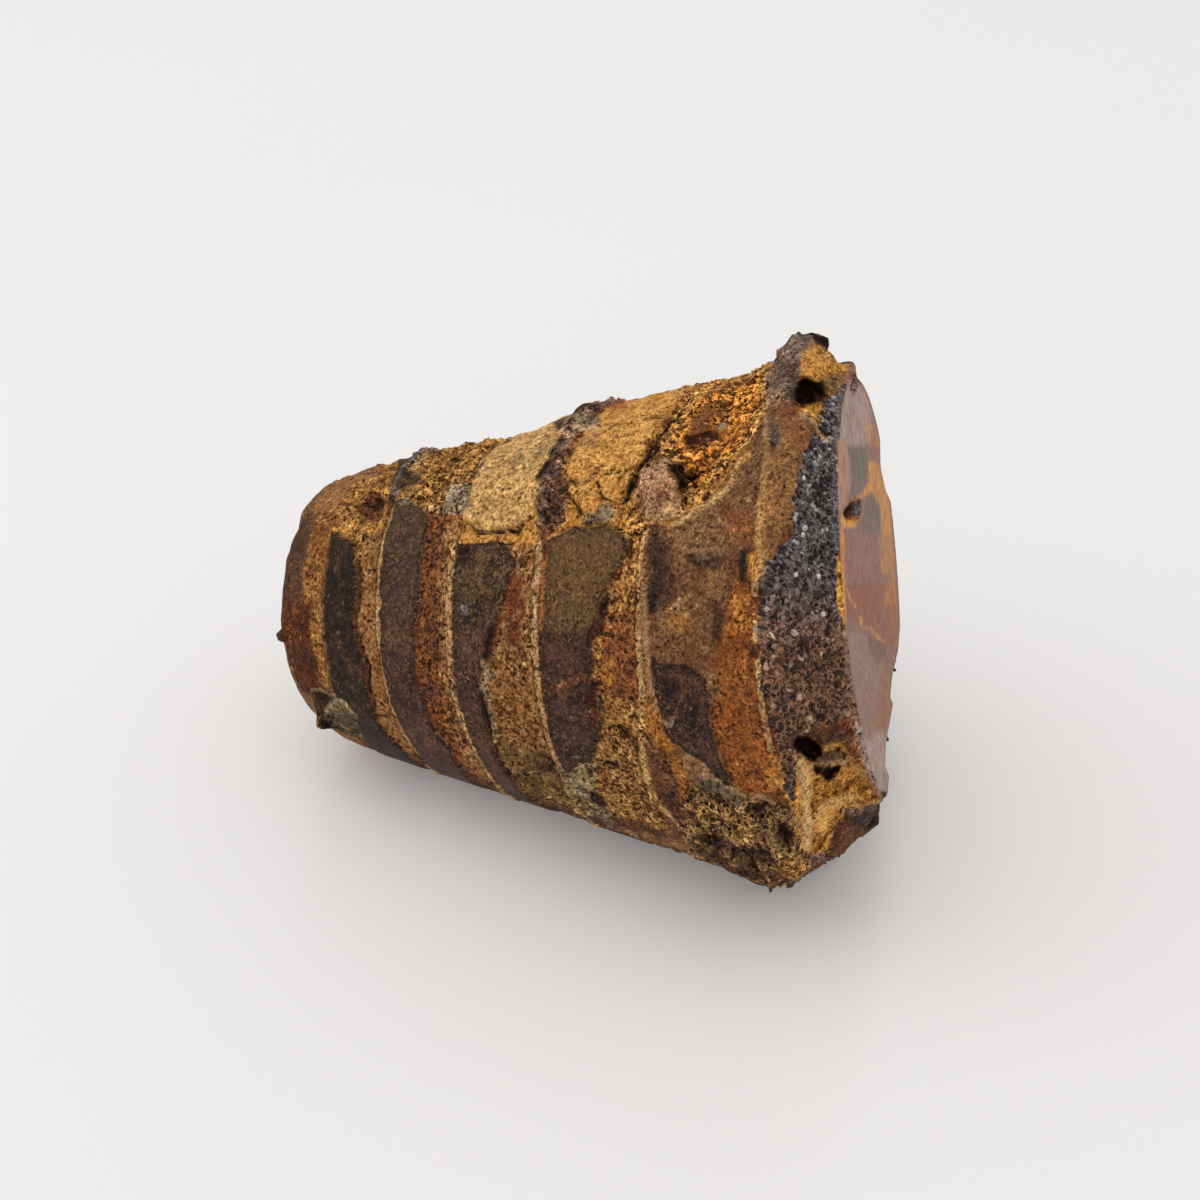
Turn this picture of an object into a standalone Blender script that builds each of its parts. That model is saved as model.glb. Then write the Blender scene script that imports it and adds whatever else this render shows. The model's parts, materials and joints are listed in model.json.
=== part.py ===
"""Fossil nautiloid: a short piece of a chambered shell cone, one natural stone solid.

Frame: metres, +Z up, ground at z = 0, the cone lying on its side. The narrow domed end points
along -X, the wide sawn end along +X, and the origin is under the middle of the bounding box.

Lengths below are in millimetres and are turned into metres when vertices are placed. The body is
described along its own axis: `s` is the distance along the axis from the rim of the domed end, and
an angle of 0 degrees is the upper side, 90 the -Y side, 180 the underside.
"""
import math

import bmesh
import bpy
from mathutils import Matrix, Vector, noise

MM = 0.001
OBJECT_NAME = "fossil_nautiloid"

# Cone of the shell
AXIS_RISE_DEG = 10.45
RADIUS_AT_RIM = 7.22
CONE_SLOPE = 0.2281
AXIS_HEIGHT_AT_RIM = 7.12
SEGMENTS = 72

# Domed end (the convex side of the last septum)
DOME_HEIGHT = 2.0
DOME_RINGS = 7
DOME_EDGE_ROUND = 1.1
SIPHUNCLE_RADIUS = 0.75
SIPHUNCLE_WIDTH = 0.5
SIPHUNCLE_RISE = 0.35

# Septa: place along the axis and how far the ring leans towards +X on the -Y side
SEPTA = (
    (2.66, 0.30),
    (6.06, 0.50),
    (10.47, 0.55),
    (15.06, 0.95),
    (20.92, 1.00),
    (26.86, 1.80),
)
END_S = 30.9
END_LEAN = 2.0
TOP_LEAN = 0.30
TOP_LEAN_FROM = 5.0

# Relief across each suture: offset from the septum, half width, rise
SUTURE_RELIEF = (
    (0.00, 0.17, 0.12),
    (0.32, 0.20, -0.12),
    (-0.75, 0.55, -0.10),
)
STATIONS_AT_SUTURE = (-0.75, -0.30, 0.0, 0.32)
RIM_STATIONS = (0.0, 0.35, 0.8, 1.35)
CHAMBER_STEP = 1.0
LAST_STEP = 0.45

# Rounding of the wall as it runs down to the domed end
RIM_ROUND_LENGTH = 2.0
RIM_ROUND_DROP = 0.55
RIM_ROUND_POWER = 2.2

# Sawn face: a tilted circle at the wide end
SAW_NORMAL = (0.961, 0.194, 0.199)
SAW_CENTRE_S = 29.6
SAW_CENTRE_RISE = 2.07
SAW_RADIUS = 10.15
SHOULDER_BLEND = 0.35

# Where the broken shoulder starts, by angle round the body (degrees, distance along the axis)
SHOULDER = (
    (-40.0, 26.0),
    (-24.0, 26.9),
    (0.0, 27.9),
    (20.0, 29.0),
    (50.0, 29.3),
    (90.0, 29.1),
    (120.0, 28.0),
    (144.0, 26.6),
    (180.0, 26.2),
    (225.0, 26.4),
    (270.0, 25.9),
    (320.0, 25.7),
)

# Uneven outline of the sawn face: angle, change of its radius
FACE_TRIM = (
    (0.0, 0.0),
    (60.0, 0.0),
    (110.0, -0.10),
    (165.0, -0.55),
    (205.0, -0.95),
    (240.0, -0.85),
    (275.0, 0.05),
    (305.0, 0.35),
    (330.0, 0.15),
)

# Broad swellings and hollows: s, angle, half length along s, half length round (mm), rise (mm)
SWELLINGS = (
    (26.4, -24.0, 1.5, 3.2, 1.65),
    (2.4, -18.0, 2.6, 4.5, -0.12),
    (27.6, 30.0, 1.7, 9.0, 0.30),
    (15.3, 4.0, 0.55, 5.2, 0.42),
    (12.9, 16.0, 1.6, 3.0, 0.18),
    (18.2, 12.0, 1.9, 3.8, 0.22),
    (24.2, 6.0, 1.6, 3.0, -1.05),
    (23.6, 22.0, 0.9, 1.3, -0.75),
    (11.2, -16.0, 1.9, 3.6, -0.50),
    (8.4, -2.0, 1.3, 2.6, -0.30),
    (4.6, 22.0, 0.6, 1.1, -0.50),
    (4.4, -10.0, 0.8, 1.6, 0.18),
    (25.4, 128.0, 2.2, 4.5, 0.35),
    (19.0, 108.0, 1.7, 3.0, -0.35),
    (14.2, 104.0, 1.1, 2.6, -0.25),
    (8.2, 228.0, 1.6, 3.0, -0.40),
    (17.6, 262.0, 1.9, 4.0, 0.30),
    (22.8, 300.0, 1.5, 3.2, -0.55),
    (13.1, 310.0, 1.3, 2.8, -0.40),
)

# Solid lumps: s, angle, height above the cone, three half sizes (mm)
NODULES = (
    (22.30, 30.5, 0.25, (1.00, 0.95, 0.80)),
    (-0.42, 72.0, -0.42, (0.42, 0.45, 0.40)),
    (5.15, -17.0, 0.02, (0.42, 0.60, 0.30)),
    (7.30, -20.0, -0.20, (0.50, 0.42, 0.30)),
    (20.60, -21.0, -0.10, (0.65, 0.60, 0.30)),
    (14.60, -19.0, 0.12, (0.60, 1.00, 0.35)),
    (26.60, -21.0, 0.60, (0.75, 0.75, 0.50)),
    (27.50, -15.0, -0.10, (0.60, 0.65, 0.50)),
    (1.55, 103.0, -0.35, (0.65, 0.95, 0.45)),
    (3.10, 112.0, -0.18, (0.95, 0.90, 0.35)),
    (16.90, 245.0, 0.15, (0.80, 0.90, 0.60)),
)

# Pits: s, angle, depth of the middle under the cone, three half sizes (mm), turn in degrees
PITS = (
    (28.45, 2.5, 0.85, (0.95, 1.50, 1.60), 15.0),
    (31.00, 97.0, 2.60, (1.50, 1.75, 1.90), -20.0),
    (30.05, 88.5, 1.70, (0.60, 0.60, 1.20), 10.0),
    (23.85, 25.5, 0.55, (0.40, 0.55, 0.80), 0.0),
    (21.50, 205.0, 0.05, (0.90, 1.20, 0.60), 25.0),
)

# Small fine roughness carried by every vertex
LUMP_RISE = 0.15
LUMP_SPAN = 2.6
GRAIN_RISE = 0.07
GRAIN_SPAN = 1.3
CRUST_MIDDLE_DEG = 2.0
CRUST_HALF_DEG = 34.0
CRUST_FADE_DEG = 6.0
LOW_CRUST_DEG = 98.0
LOW_CRUST_FROM = 11.0
LOW_CRUST_TO_DEG = 150.0
CRUST_GAIN = 4.5

# Lumps and pits
LUMP_DETAIL = 2
NODULE_UNEVENNESS = 0.35
PIT_UNEVENNESS = 0.45
BALL_NOISE_SCALE = 1.7

# Cutting slabs, metres, and how the finished mesh is cleaned and shaded
SAW_SLAB = 0.08
REST_SLAB = 0.16
SHARP_ANGLE_DEG = 40.0
MERGE_DISTANCE = 0.00004


def remove_everything():
    """Empty the file so the part always starts from nothing."""
    for item in list(bpy.data.objects):
        bpy.data.objects.remove(item, do_unlink=True)
    for item in list(bpy.data.meshes):
        bpy.data.meshes.remove(item)
    for item in list(bpy.data.collections):
        bpy.data.collections.remove(item)


def new_collection(name):
    """Link a new collection to the scene."""
    collection = bpy.data.collections.new(name)
    bpy.context.scene.collection.children.link(collection)
    return collection


def interpolate(x, table):
    """Straight-line value of a table of (x, value) pairs."""
    if x <= table[0][0]:
        return table[0][1]
    for (x0, v0), (x1, v1) in zip(table, table[1:]):
        if x <= x1:
            return v0 + (v1 - v0) * (x - x0) / (x1 - x0)
    return table[-1][1]


def around(angle, table):
    """Value of a table by angle that closes on itself."""
    degrees = math.degrees(angle) % 360.0
    if degrees > table[-1][0]:
        degrees -= 360.0
    closed = ((table[-1][0] - 360.0, table[-1][1]),) + table + ((table[0][0] + 360.0, table[0][1]),)
    return interpolate(degrees, closed)


def lean(s):
    """How far the ring at s leans along the axis on the -Y side."""
    table = ((0.0, 0.0),) + SEPTA + ((SAW_CENTRE_S, END_LEAN),)
    return interpolate(s, table)


def ring_place(s, angle):
    """Place along the axis of the tilted ring s at an angle."""
    top = TOP_LEAN * min(1.0, max(0.0, s) / TOP_LEAN_FROM)
    return s - top * math.cos(angle) + lean(max(0.0, s)) * math.sin(angle)


def axis_vectors():
    """Body axis, the body's own up and the -Y side, as unit vectors."""
    rise = math.radians(AXIS_RISE_DEG)
    along = Vector((math.cos(rise), 0.0, math.sin(rise)))
    upward = Vector((-math.sin(rise), 0.0, math.cos(rise)))
    return along, upward, Vector((0.0, -1.0, 0.0))


def place(u, angle, radius):
    """World place in millimetres of a point given by axis distance, angle and radius."""
    along, upward, side = axis_vectors()
    centre = Vector((0.0, 0.0, AXIS_HEIGHT_AT_RIM)) + along * u
    return centre + (upward * math.cos(angle) + side * math.sin(angle)) * radius


def cone_radius(u):
    """Radius of the bare cone."""
    return RADIUS_AT_RIM + CONE_SLOPE * u


def saw_centre():
    """Middle of the sawn face in millimetres."""
    return place(SAW_CENTRE_S, 0.0, SAW_CENTRE_RISE)


def saw_edge(angle):
    """Radius of the sawn face's edge from the body axis."""
    side = SAW_CENTRE_RISE * math.sin(angle)
    even = SAW_CENTRE_RISE * math.cos(angle) + math.sqrt(SAW_RADIUS ** 2 - side ** 2)
    return even + around(angle, FACE_TRIM)


def saw_place(angle):
    """Place along the axis where the sawn plane meets its edge at an angle."""
    normal = Vector(SAW_NORMAL).normalized()
    along, upward, side = axis_vectors()
    outward = upward * math.cos(angle) + side * math.sin(angle)
    foot = saw_centre() - place(0.0, 0.0, 0.0)
    return (normal.dot(foot) - saw_edge(angle) * normal.dot(outward)) / normal.dot(along)


def broken_shoulder(u, angle):
    """Greatest radius allowed by the broken surface between shoulder and sawn face."""
    start = around(angle, SHOULDER)
    end = saw_place(angle)
    drop = (cone_radius(start) - saw_edge(angle)) / max(0.4, end - start)
    return saw_edge(angle) + drop * (end - u)


def smooth_min(a, b, blend):
    """Smaller of two lengths with the corner rounded over."""
    gap = max(0.0, 1.0 - abs(a - b) / blend)
    return min(a, b) - gap * gap * blend * 0.25


def suture_relief(s):
    """Rise of the septum's edge, the groove beyond it and the sunken band before it."""
    rise = 0.0
    for septum, _ in SEPTA:
        for offset, half_width, height in SUTURE_RELIEF:
            rise += height * math.exp(-((s - septum - offset) / half_width) ** 2)
    return rise


def rim_drop(s):
    """How far the wall falls in as it nears the domed end."""
    share = max(0.0, 1.0 - s / RIM_ROUND_LENGTH)
    return RIM_ROUND_DROP * share ** RIM_ROUND_POWER


def swelling_relief(u, angle, radius):
    """Rise of the broad swellings and hollows."""
    rise = 0.0
    for s, centre, half_s, half_round, height in SWELLINGS:
        turn = (math.degrees(angle) - centre + 180.0) % 360.0 - 180.0
        across = math.radians(turn) * radius / half_round
        far = ((u - s) / half_s) ** 2 + across ** 2
        if far < 9.0:
            rise += height * math.exp(-far)
    return rise


def rough_relief(u, angle, radius):
    """Even roughness of a weathered stone."""
    point = place(u, angle, radius)
    lump = noise.noise(point / LUMP_SPAN)
    grain = noise.noise(point / GRAIN_SPAN + Vector((7.3, 1.9, 4.4)))
    return LUMP_RISE * lump + GRAIN_RISE * (1.0 + crust_share(u, angle)) * grain


def crust_share(u, angle):
    """Share of crumbly crust: strong along the top and back, none on the smooth side."""
    turn = abs((math.degrees(angle) - CRUST_MIDDLE_DEG + 180.0) % 360.0 - 180.0)
    edge = (CRUST_HALF_DEG - turn) / CRUST_FADE_DEG
    round_from_top = math.degrees(angle) % 360.0
    lower = 0.0
    if u > LOW_CRUST_FROM and round_from_top < LOW_CRUST_TO_DEG:
        lower = (round_from_top - LOW_CRUST_DEG) / CRUST_FADE_DEG
    return CRUST_GAIN * max(0.0, min(1.0, max(edge, lower)))


def wall_point(s, angle):
    """Outer wall of the body in millimetres."""
    u = ring_place(s, angle)
    bare = cone_radius(u)
    radius = bare + suture_relief(s) + swelling_relief(u, angle, bare)
    radius += rough_relief(u, angle, bare) - rim_drop(s)
    radius = smooth_min(radius, broken_shoulder(u, angle), SHOULDER_BLEND)
    return place(u, angle, max(radius, 1.0))


def dome_profile():
    """Profile of the domed end from its rim to its tip: (share of the radius, s)."""
    points = []
    for k in range(1, DOME_RINGS + 1):
        turn = 0.5 * math.pi * k / DOME_RINGS
        share = math.cos(turn)
        points.append((share, -DOME_HEIGHT * math.sin(turn) ** DOME_EDGE_ROUND))
    return points


def dome_point(share, depth, angle):
    """A point of the domed end, with the small raised ring of the siphuncle at its middle."""
    radius = share * (cone_radius(0.0) - RIM_ROUND_DROP)
    u = depth
    ring = math.exp(-((radius - SIPHUNCLE_RADIUS) / SIPHUNCLE_WIDTH) ** 2)
    u -= SIPHUNCLE_RISE * ring
    point = place(u, angle, radius)
    rough = LUMP_RISE * noise.noise(point / LUMP_SPAN) * share
    return place(u + rough, angle, radius)


def wall_stations():
    """Ring places along the wall: close at each suture, even between them."""
    stations = list(RIM_STATIONS)
    septa = [septum for septum, _ in SEPTA]
    for k, septum in enumerate(septa):
        stations += [septum + offset for offset in STATIONS_AT_SUTURE]
        start = septum + STATIONS_AT_SUTURE[-1]
        last = k + 1 == len(septa)
        end = END_S if last else septa[k + 1] + STATIONS_AT_SUTURE[0]
        steps = max(2, round((end - start) / (LAST_STEP if last else CHAMBER_STEP)))
        stations += [start + (end - start) * j / steps for j in range(1, steps)]
    stations.append(END_S)
    return stations


def activate(item):
    """Select one object alone and make it active."""
    bpy.ops.object.select_all(action="DESELECT")
    item.select_set(True)
    bpy.context.view_layer.objects.active = item


def apply_modifier(item, name):
    """Apply a modifier."""
    activate(item)
    bpy.ops.object.modifier_apply(modifier=name)


def make_body(collection):
    """Turn the cone's profile about its axis, then seat every vertex on the fossil's wall."""
    stations = wall_stations()
    profile = [(0.0, END_S + 1.0)]
    profile += [(1.0, s) for s in reversed(stations)]
    profile += dome_profile()
    mesh = bpy.data.meshes.new("profile")
    places = [(share, 0.0, s) for share, s in profile]
    edges = [(k, k + 1) for k in range(len(places) - 1)]
    mesh.from_pydata(places, edges, [])
    body = bpy.data.objects.new(OBJECT_NAME, mesh)
    collection.objects.link(body)
    screw = body.modifiers.new("screw", "SCREW")
    screw.steps = SEGMENTS
    screw.render_steps = SEGMENTS
    screw.use_merge_vertices = True
    screw.merge_threshold = 0.0001
    apply_modifier(body, "screw")
    for vertex in body.data.vertices:
        share = math.hypot(vertex.co.x, vertex.co.y)
        angle = math.atan2(vertex.co.y, vertex.co.x)
        if vertex.co.z > END_S:
            vertex.co = place(END_S + 1.0, 0.0, 0.0) * MM
        elif vertex.co.z < -1e-6:
            vertex.co = dome_point(share, vertex.co.z, angle) * MM
        else:
            vertex.co = wall_point(vertex.co.z, angle) * MM
    return body


def seat_matrix(s, angle_deg, height, turn_deg=0.0):
    """Axes standing on the cone at a place: x along the body, y round it, z outward."""
    angle = math.radians(angle_deg)
    along, upward, side = axis_vectors()
    outward = upward * math.cos(angle) + side * math.sin(angle)
    across = outward.cross(along).normalized()
    centre = place(s, angle, cone_radius(s) + height) * MM
    frame = Matrix((along, across, outward)).transposed().to_4x4()
    turn = Matrix.Rotation(math.radians(turn_deg), 4, "Z")
    return Matrix.Translation(centre) @ frame @ turn


def rough_ball(name, half_sizes, matrix, collection, unevenness):
    """An uneven stone lump: an icosphere scaled, roughened and put in place."""
    bpy.ops.mesh.primitive_ico_sphere_add(subdivisions=LUMP_DETAIL, radius=1.0)
    ball = bpy.context.active_object
    ball.name = name
    for vertex in ball.data.vertices:
        swell = 1.0 + unevenness * noise.noise(vertex.co * BALL_NOISE_SCALE + matrix.translation / MM)
        vertex.co = Vector(vertex.co[k] * half_sizes[k] * MM * swell for k in range(3))
    ball.data.transform(matrix)
    for owner in list(ball.users_collection):
        owner.objects.unlink(ball)
    collection.objects.link(ball)
    return ball


def hide_cutter(cutter):
    """Show a cutter as wire and keep it out of renders."""
    cutter.hide_render = True
    cutter.display_type = "WIRE"


def combine(body, other, operation):
    """Boolean another object into the body or out of it."""
    boolean = body.modifiers.new("boolean", "BOOLEAN")
    boolean.operation = operation
    boolean.solver = "EXACT"
    boolean.object = other
    apply_modifier(body, "boolean")


def slab(name, matrix, size, collection):
    """A box whose lower face is the plane of the matrix."""
    bpy.ops.mesh.primitive_cube_add(size=1.0)
    box = bpy.context.active_object
    box.name = name
    box.data.transform(Matrix.Translation((0.0, 0.0, 0.5)))
    box.data.transform(Matrix.Scale(size, 4))
    box.data.transform(matrix)
    for owner in list(box.users_collection):
        owner.objects.unlink(box)
    collection.objects.link(box)
    hide_cutter(box)
    return box


def stone_material():
    """Brown iron-stone."""
    material = bpy.data.materials.new("iron_stone")
    material.use_nodes = True
    shader = material.node_tree.nodes["Principled BSDF"]
    shader.inputs["Base Color"].default_value = (0.135, 0.066, 0.026, 1.0)
    shader.inputs["Roughness"].default_value = 0.72
    shader.inputs["Metallic"].default_value = 0.0
    return material


def settle(body):
    """Move the body so the origin is under the middle of its bounding box."""
    xs = [vertex.co.x for vertex in body.data.vertices]
    ys = [vertex.co.y for vertex in body.data.vertices]
    zs = [vertex.co.z for vertex in body.data.vertices]
    shift = Vector((-(min(xs) + max(xs)) / 2.0, -(min(ys) + max(ys)) / 2.0, -min(zs)))
    body.data.transform(Matrix.Translation(shift))


def tidy(body):
    """Merge what the Booleans left doubled and dissolve needle faces."""
    work = bmesh.new()
    work.from_mesh(body.data)
    bmesh.ops.remove_doubles(work, verts=work.verts, dist=MERGE_DISTANCE)
    bmesh.ops.dissolve_degenerate(work, edges=work.edges, dist=MERGE_DISTANCE)
    work.to_mesh(body.data)
    work.free()
    body.data.update()


def main():
    """Build the fossil."""
    remove_everything()
    parts = new_collection(OBJECT_NAME)
    cutters = new_collection("cutters")
    body = make_body(parts)
    for k, (s, angle, height, sizes) in enumerate(NODULES):
        seat = seat_matrix(s, angle, height)
        lump = rough_ball(f"nodule_{k}", sizes, seat, cutters, NODULE_UNEVENNESS)
        hide_cutter(lump)
        combine(body, lump, "UNION")
    for k, (s, angle, depth, sizes, turn) in enumerate(PITS):
        seat = seat_matrix(s, angle, -depth, turn)
        pit = rough_ball(f"pit_{k}", sizes, seat, cutters, PIT_UNEVENNESS)
        hide_cutter(pit)
        combine(body, pit, "DIFFERENCE")
    normal = Vector(SAW_NORMAL).normalized()
    facing = normal.to_track_quat("Z", "Y").to_matrix().to_4x4()
    saw_frame = Matrix.Translation(saw_centre() * MM) @ facing
    combine(body, slab("saw_cut", saw_frame, SAW_SLAB, cutters), "DIFFERENCE")
    ground = Matrix.Rotation(math.pi, 4, "X")
    combine(body, slab("rest_cut", ground, REST_SLAB, cutters), "DIFFERENCE")
    tidy(body)
    settle(body)
    body.data.materials.clear()
    body.data.materials.append(stone_material())
    activate(body)
    bpy.ops.object.shade_smooth()
    body.data.set_sharp_from_angle(angle=math.radians(SHARP_ANGLE_DEG))


main()
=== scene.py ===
"""A fossil nautiloid lying on its side: its surface sculpted, marked and dressed.

The stone is built along its own axis. A place on it is given by `u`, the distance in millimetres
along the axis from the rim of the domed end, and by an angle in degrees: 0 is the upper side, 90
the -Y side, 180 the underside. All sizes are in millimetres until a mesh is finished.
"""
from __future__ import annotations

import json
import logging
import math
from collections.abc import Iterator
from contextlib import contextmanager
from dataclasses import dataclass, field
from enum import Enum

import bpy
import numpy as np
from mathutils import Matrix, Vector

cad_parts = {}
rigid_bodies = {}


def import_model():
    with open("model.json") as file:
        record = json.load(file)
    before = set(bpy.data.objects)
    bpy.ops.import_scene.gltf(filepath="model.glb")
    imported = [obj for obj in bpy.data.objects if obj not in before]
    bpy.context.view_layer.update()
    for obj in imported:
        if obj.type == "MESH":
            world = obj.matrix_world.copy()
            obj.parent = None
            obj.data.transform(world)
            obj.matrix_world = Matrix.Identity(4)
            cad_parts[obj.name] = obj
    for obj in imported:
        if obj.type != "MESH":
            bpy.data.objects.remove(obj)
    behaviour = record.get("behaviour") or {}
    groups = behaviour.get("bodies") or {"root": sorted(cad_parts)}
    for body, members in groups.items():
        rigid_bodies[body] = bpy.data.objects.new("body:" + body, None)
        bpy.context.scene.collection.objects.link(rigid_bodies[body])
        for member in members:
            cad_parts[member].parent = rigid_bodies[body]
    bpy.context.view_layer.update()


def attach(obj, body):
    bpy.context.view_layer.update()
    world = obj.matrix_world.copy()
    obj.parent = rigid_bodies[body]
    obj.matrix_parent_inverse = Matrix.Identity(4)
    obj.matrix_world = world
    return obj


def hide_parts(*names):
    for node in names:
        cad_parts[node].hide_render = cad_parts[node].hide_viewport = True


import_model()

LOG = logging.getLogger("fossil")
MM = 0.001
LIFT = 1.34
CAD_NODE = "fossil_nautiloid"
FAR_AWAY = 1e9
TINY = 1e-9
TINIER = 1e-12

Place = tuple[float, float]
Triple = tuple[float, float, float]
Shares = tuple[float, ...]
Array = np.ndarray


def ease(low: float, high: float, value: Array) -> Array:
    """Smooth step from 0 at low to 1 at high."""
    share = np.clip((value - low) / (high - low), 0.0, 1.0)
    return share * share * (3.0 - 2.0 * share)


def mixed(first: Array, second: Array | float, share: Array) -> Array:
    """The first value where share is 0 and the second where it is 1."""
    return first * (1.0 - share) + second * share


class Noise:
    """Repeatable noise at many points at once."""

    @staticmethod
    def _scatter(cell: Array, seed: int) -> Array:
        """Even random values from 0 to 1 for whole-number cells.

        Args:
            cell: Whole numbers, shape (n, 3).
            seed: Which pattern.
        Returns:
            One value a cell.
        """
        whole = cell.astype(np.int64)
        value = whole[:, 0] * 73856093 ^ whole[:, 1] * 19349663 ^ whole[:, 2] * 83492791
        value = (value ^ (seed * 2654435761)) & 0xFFFFFFFF
        value = (value ^ (value >> 15)) * 2246822519 & 0xFFFFFFFF
        value = (value ^ (value >> 13)) * 3266489917 & 0xFFFFFFFF
        return ((value ^ (value >> 16)) & 0xFFFFFF) / float(0xFFFFFF)

    @classmethod
    def smooth(cls, points: Array, span: float, seed: int) -> Array:
        """Gradient noise from about -1 to 1.

        Args:
            points: Places, shape (n, 3).
            span: Width of a swell.
            seed: Which pattern.
        Returns:
            One value a point.
        """
        spot = points / span + seed * 17.31
        base = np.floor(spot)
        part = spot - base
        fade = part * part * part * (part * (part * 6.0 - 15.0) + 10.0)
        total = np.zeros(len(points))
        for corner in np.ndindex(2, 2, 2):
            step = np.array(corner)
            cell = base + step
            weight = np.prod(np.where(step == 1, fade, 1.0 - fade), axis=1)
            slope = np.stack([cls._scatter(cell, seed * 3 + k) for k in range(3)], 1) * 2.0 - 1.0
            total += weight * np.sum(slope * (part - step), axis=1)
        return total * 1.5

    @classmethod
    def fractal(cls, points: Array, span: float, seed: int, layers: int = 3) -> Array:
        """Gradient noise in finer and finer layers.

        Args:
            points: Places, shape (n, 3).
            span: Width of the widest swell.
            seed: Which pattern.
            layers: How many layers.
        Returns:
            One value a point, from about -1 to 1.
        """
        total = np.zeros(len(points))
        for k in range(layers):
            total += cls.smooth(points, span / 2.0 ** k, seed + 31 * k) * 0.5 ** k
        return total / 1.5

    @classmethod
    def cells(cls, points: Array, span: float, seed: int) -> tuple[Array, ...]:
        """Distances to scattered seeds, as in foam or packed grains.

        Args:
            points: Places, shape (n, 3).
            span: Mean distance between seeds.
            seed: Which pattern.
        Returns:
            Distance to the nearest seed, to the next one, and a value for the nearest seed.
        """
        spot = points / span
        base = np.floor(spot)
        near = np.full(len(points), 9.0)
        following = np.full(len(points), 9.0)
        mark = np.zeros(len(points))
        for step in np.ndindex(3, 3, 3):
            cell = base + np.array(step) - 1.0
            jitter = np.stack([cls._scatter(cell, seed * 5 + k) for k in range(3)], 1)
            far = np.linalg.norm(cell + jitter - spot, axis=1)
            closer = far < near
            following = np.where(closer, near, np.minimum(following, far))
            mark = np.where(closer, cls._scatter(cell, seed * 5 + 4), mark)
            near = np.minimum(near, far)
        return near, following, mark


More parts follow.
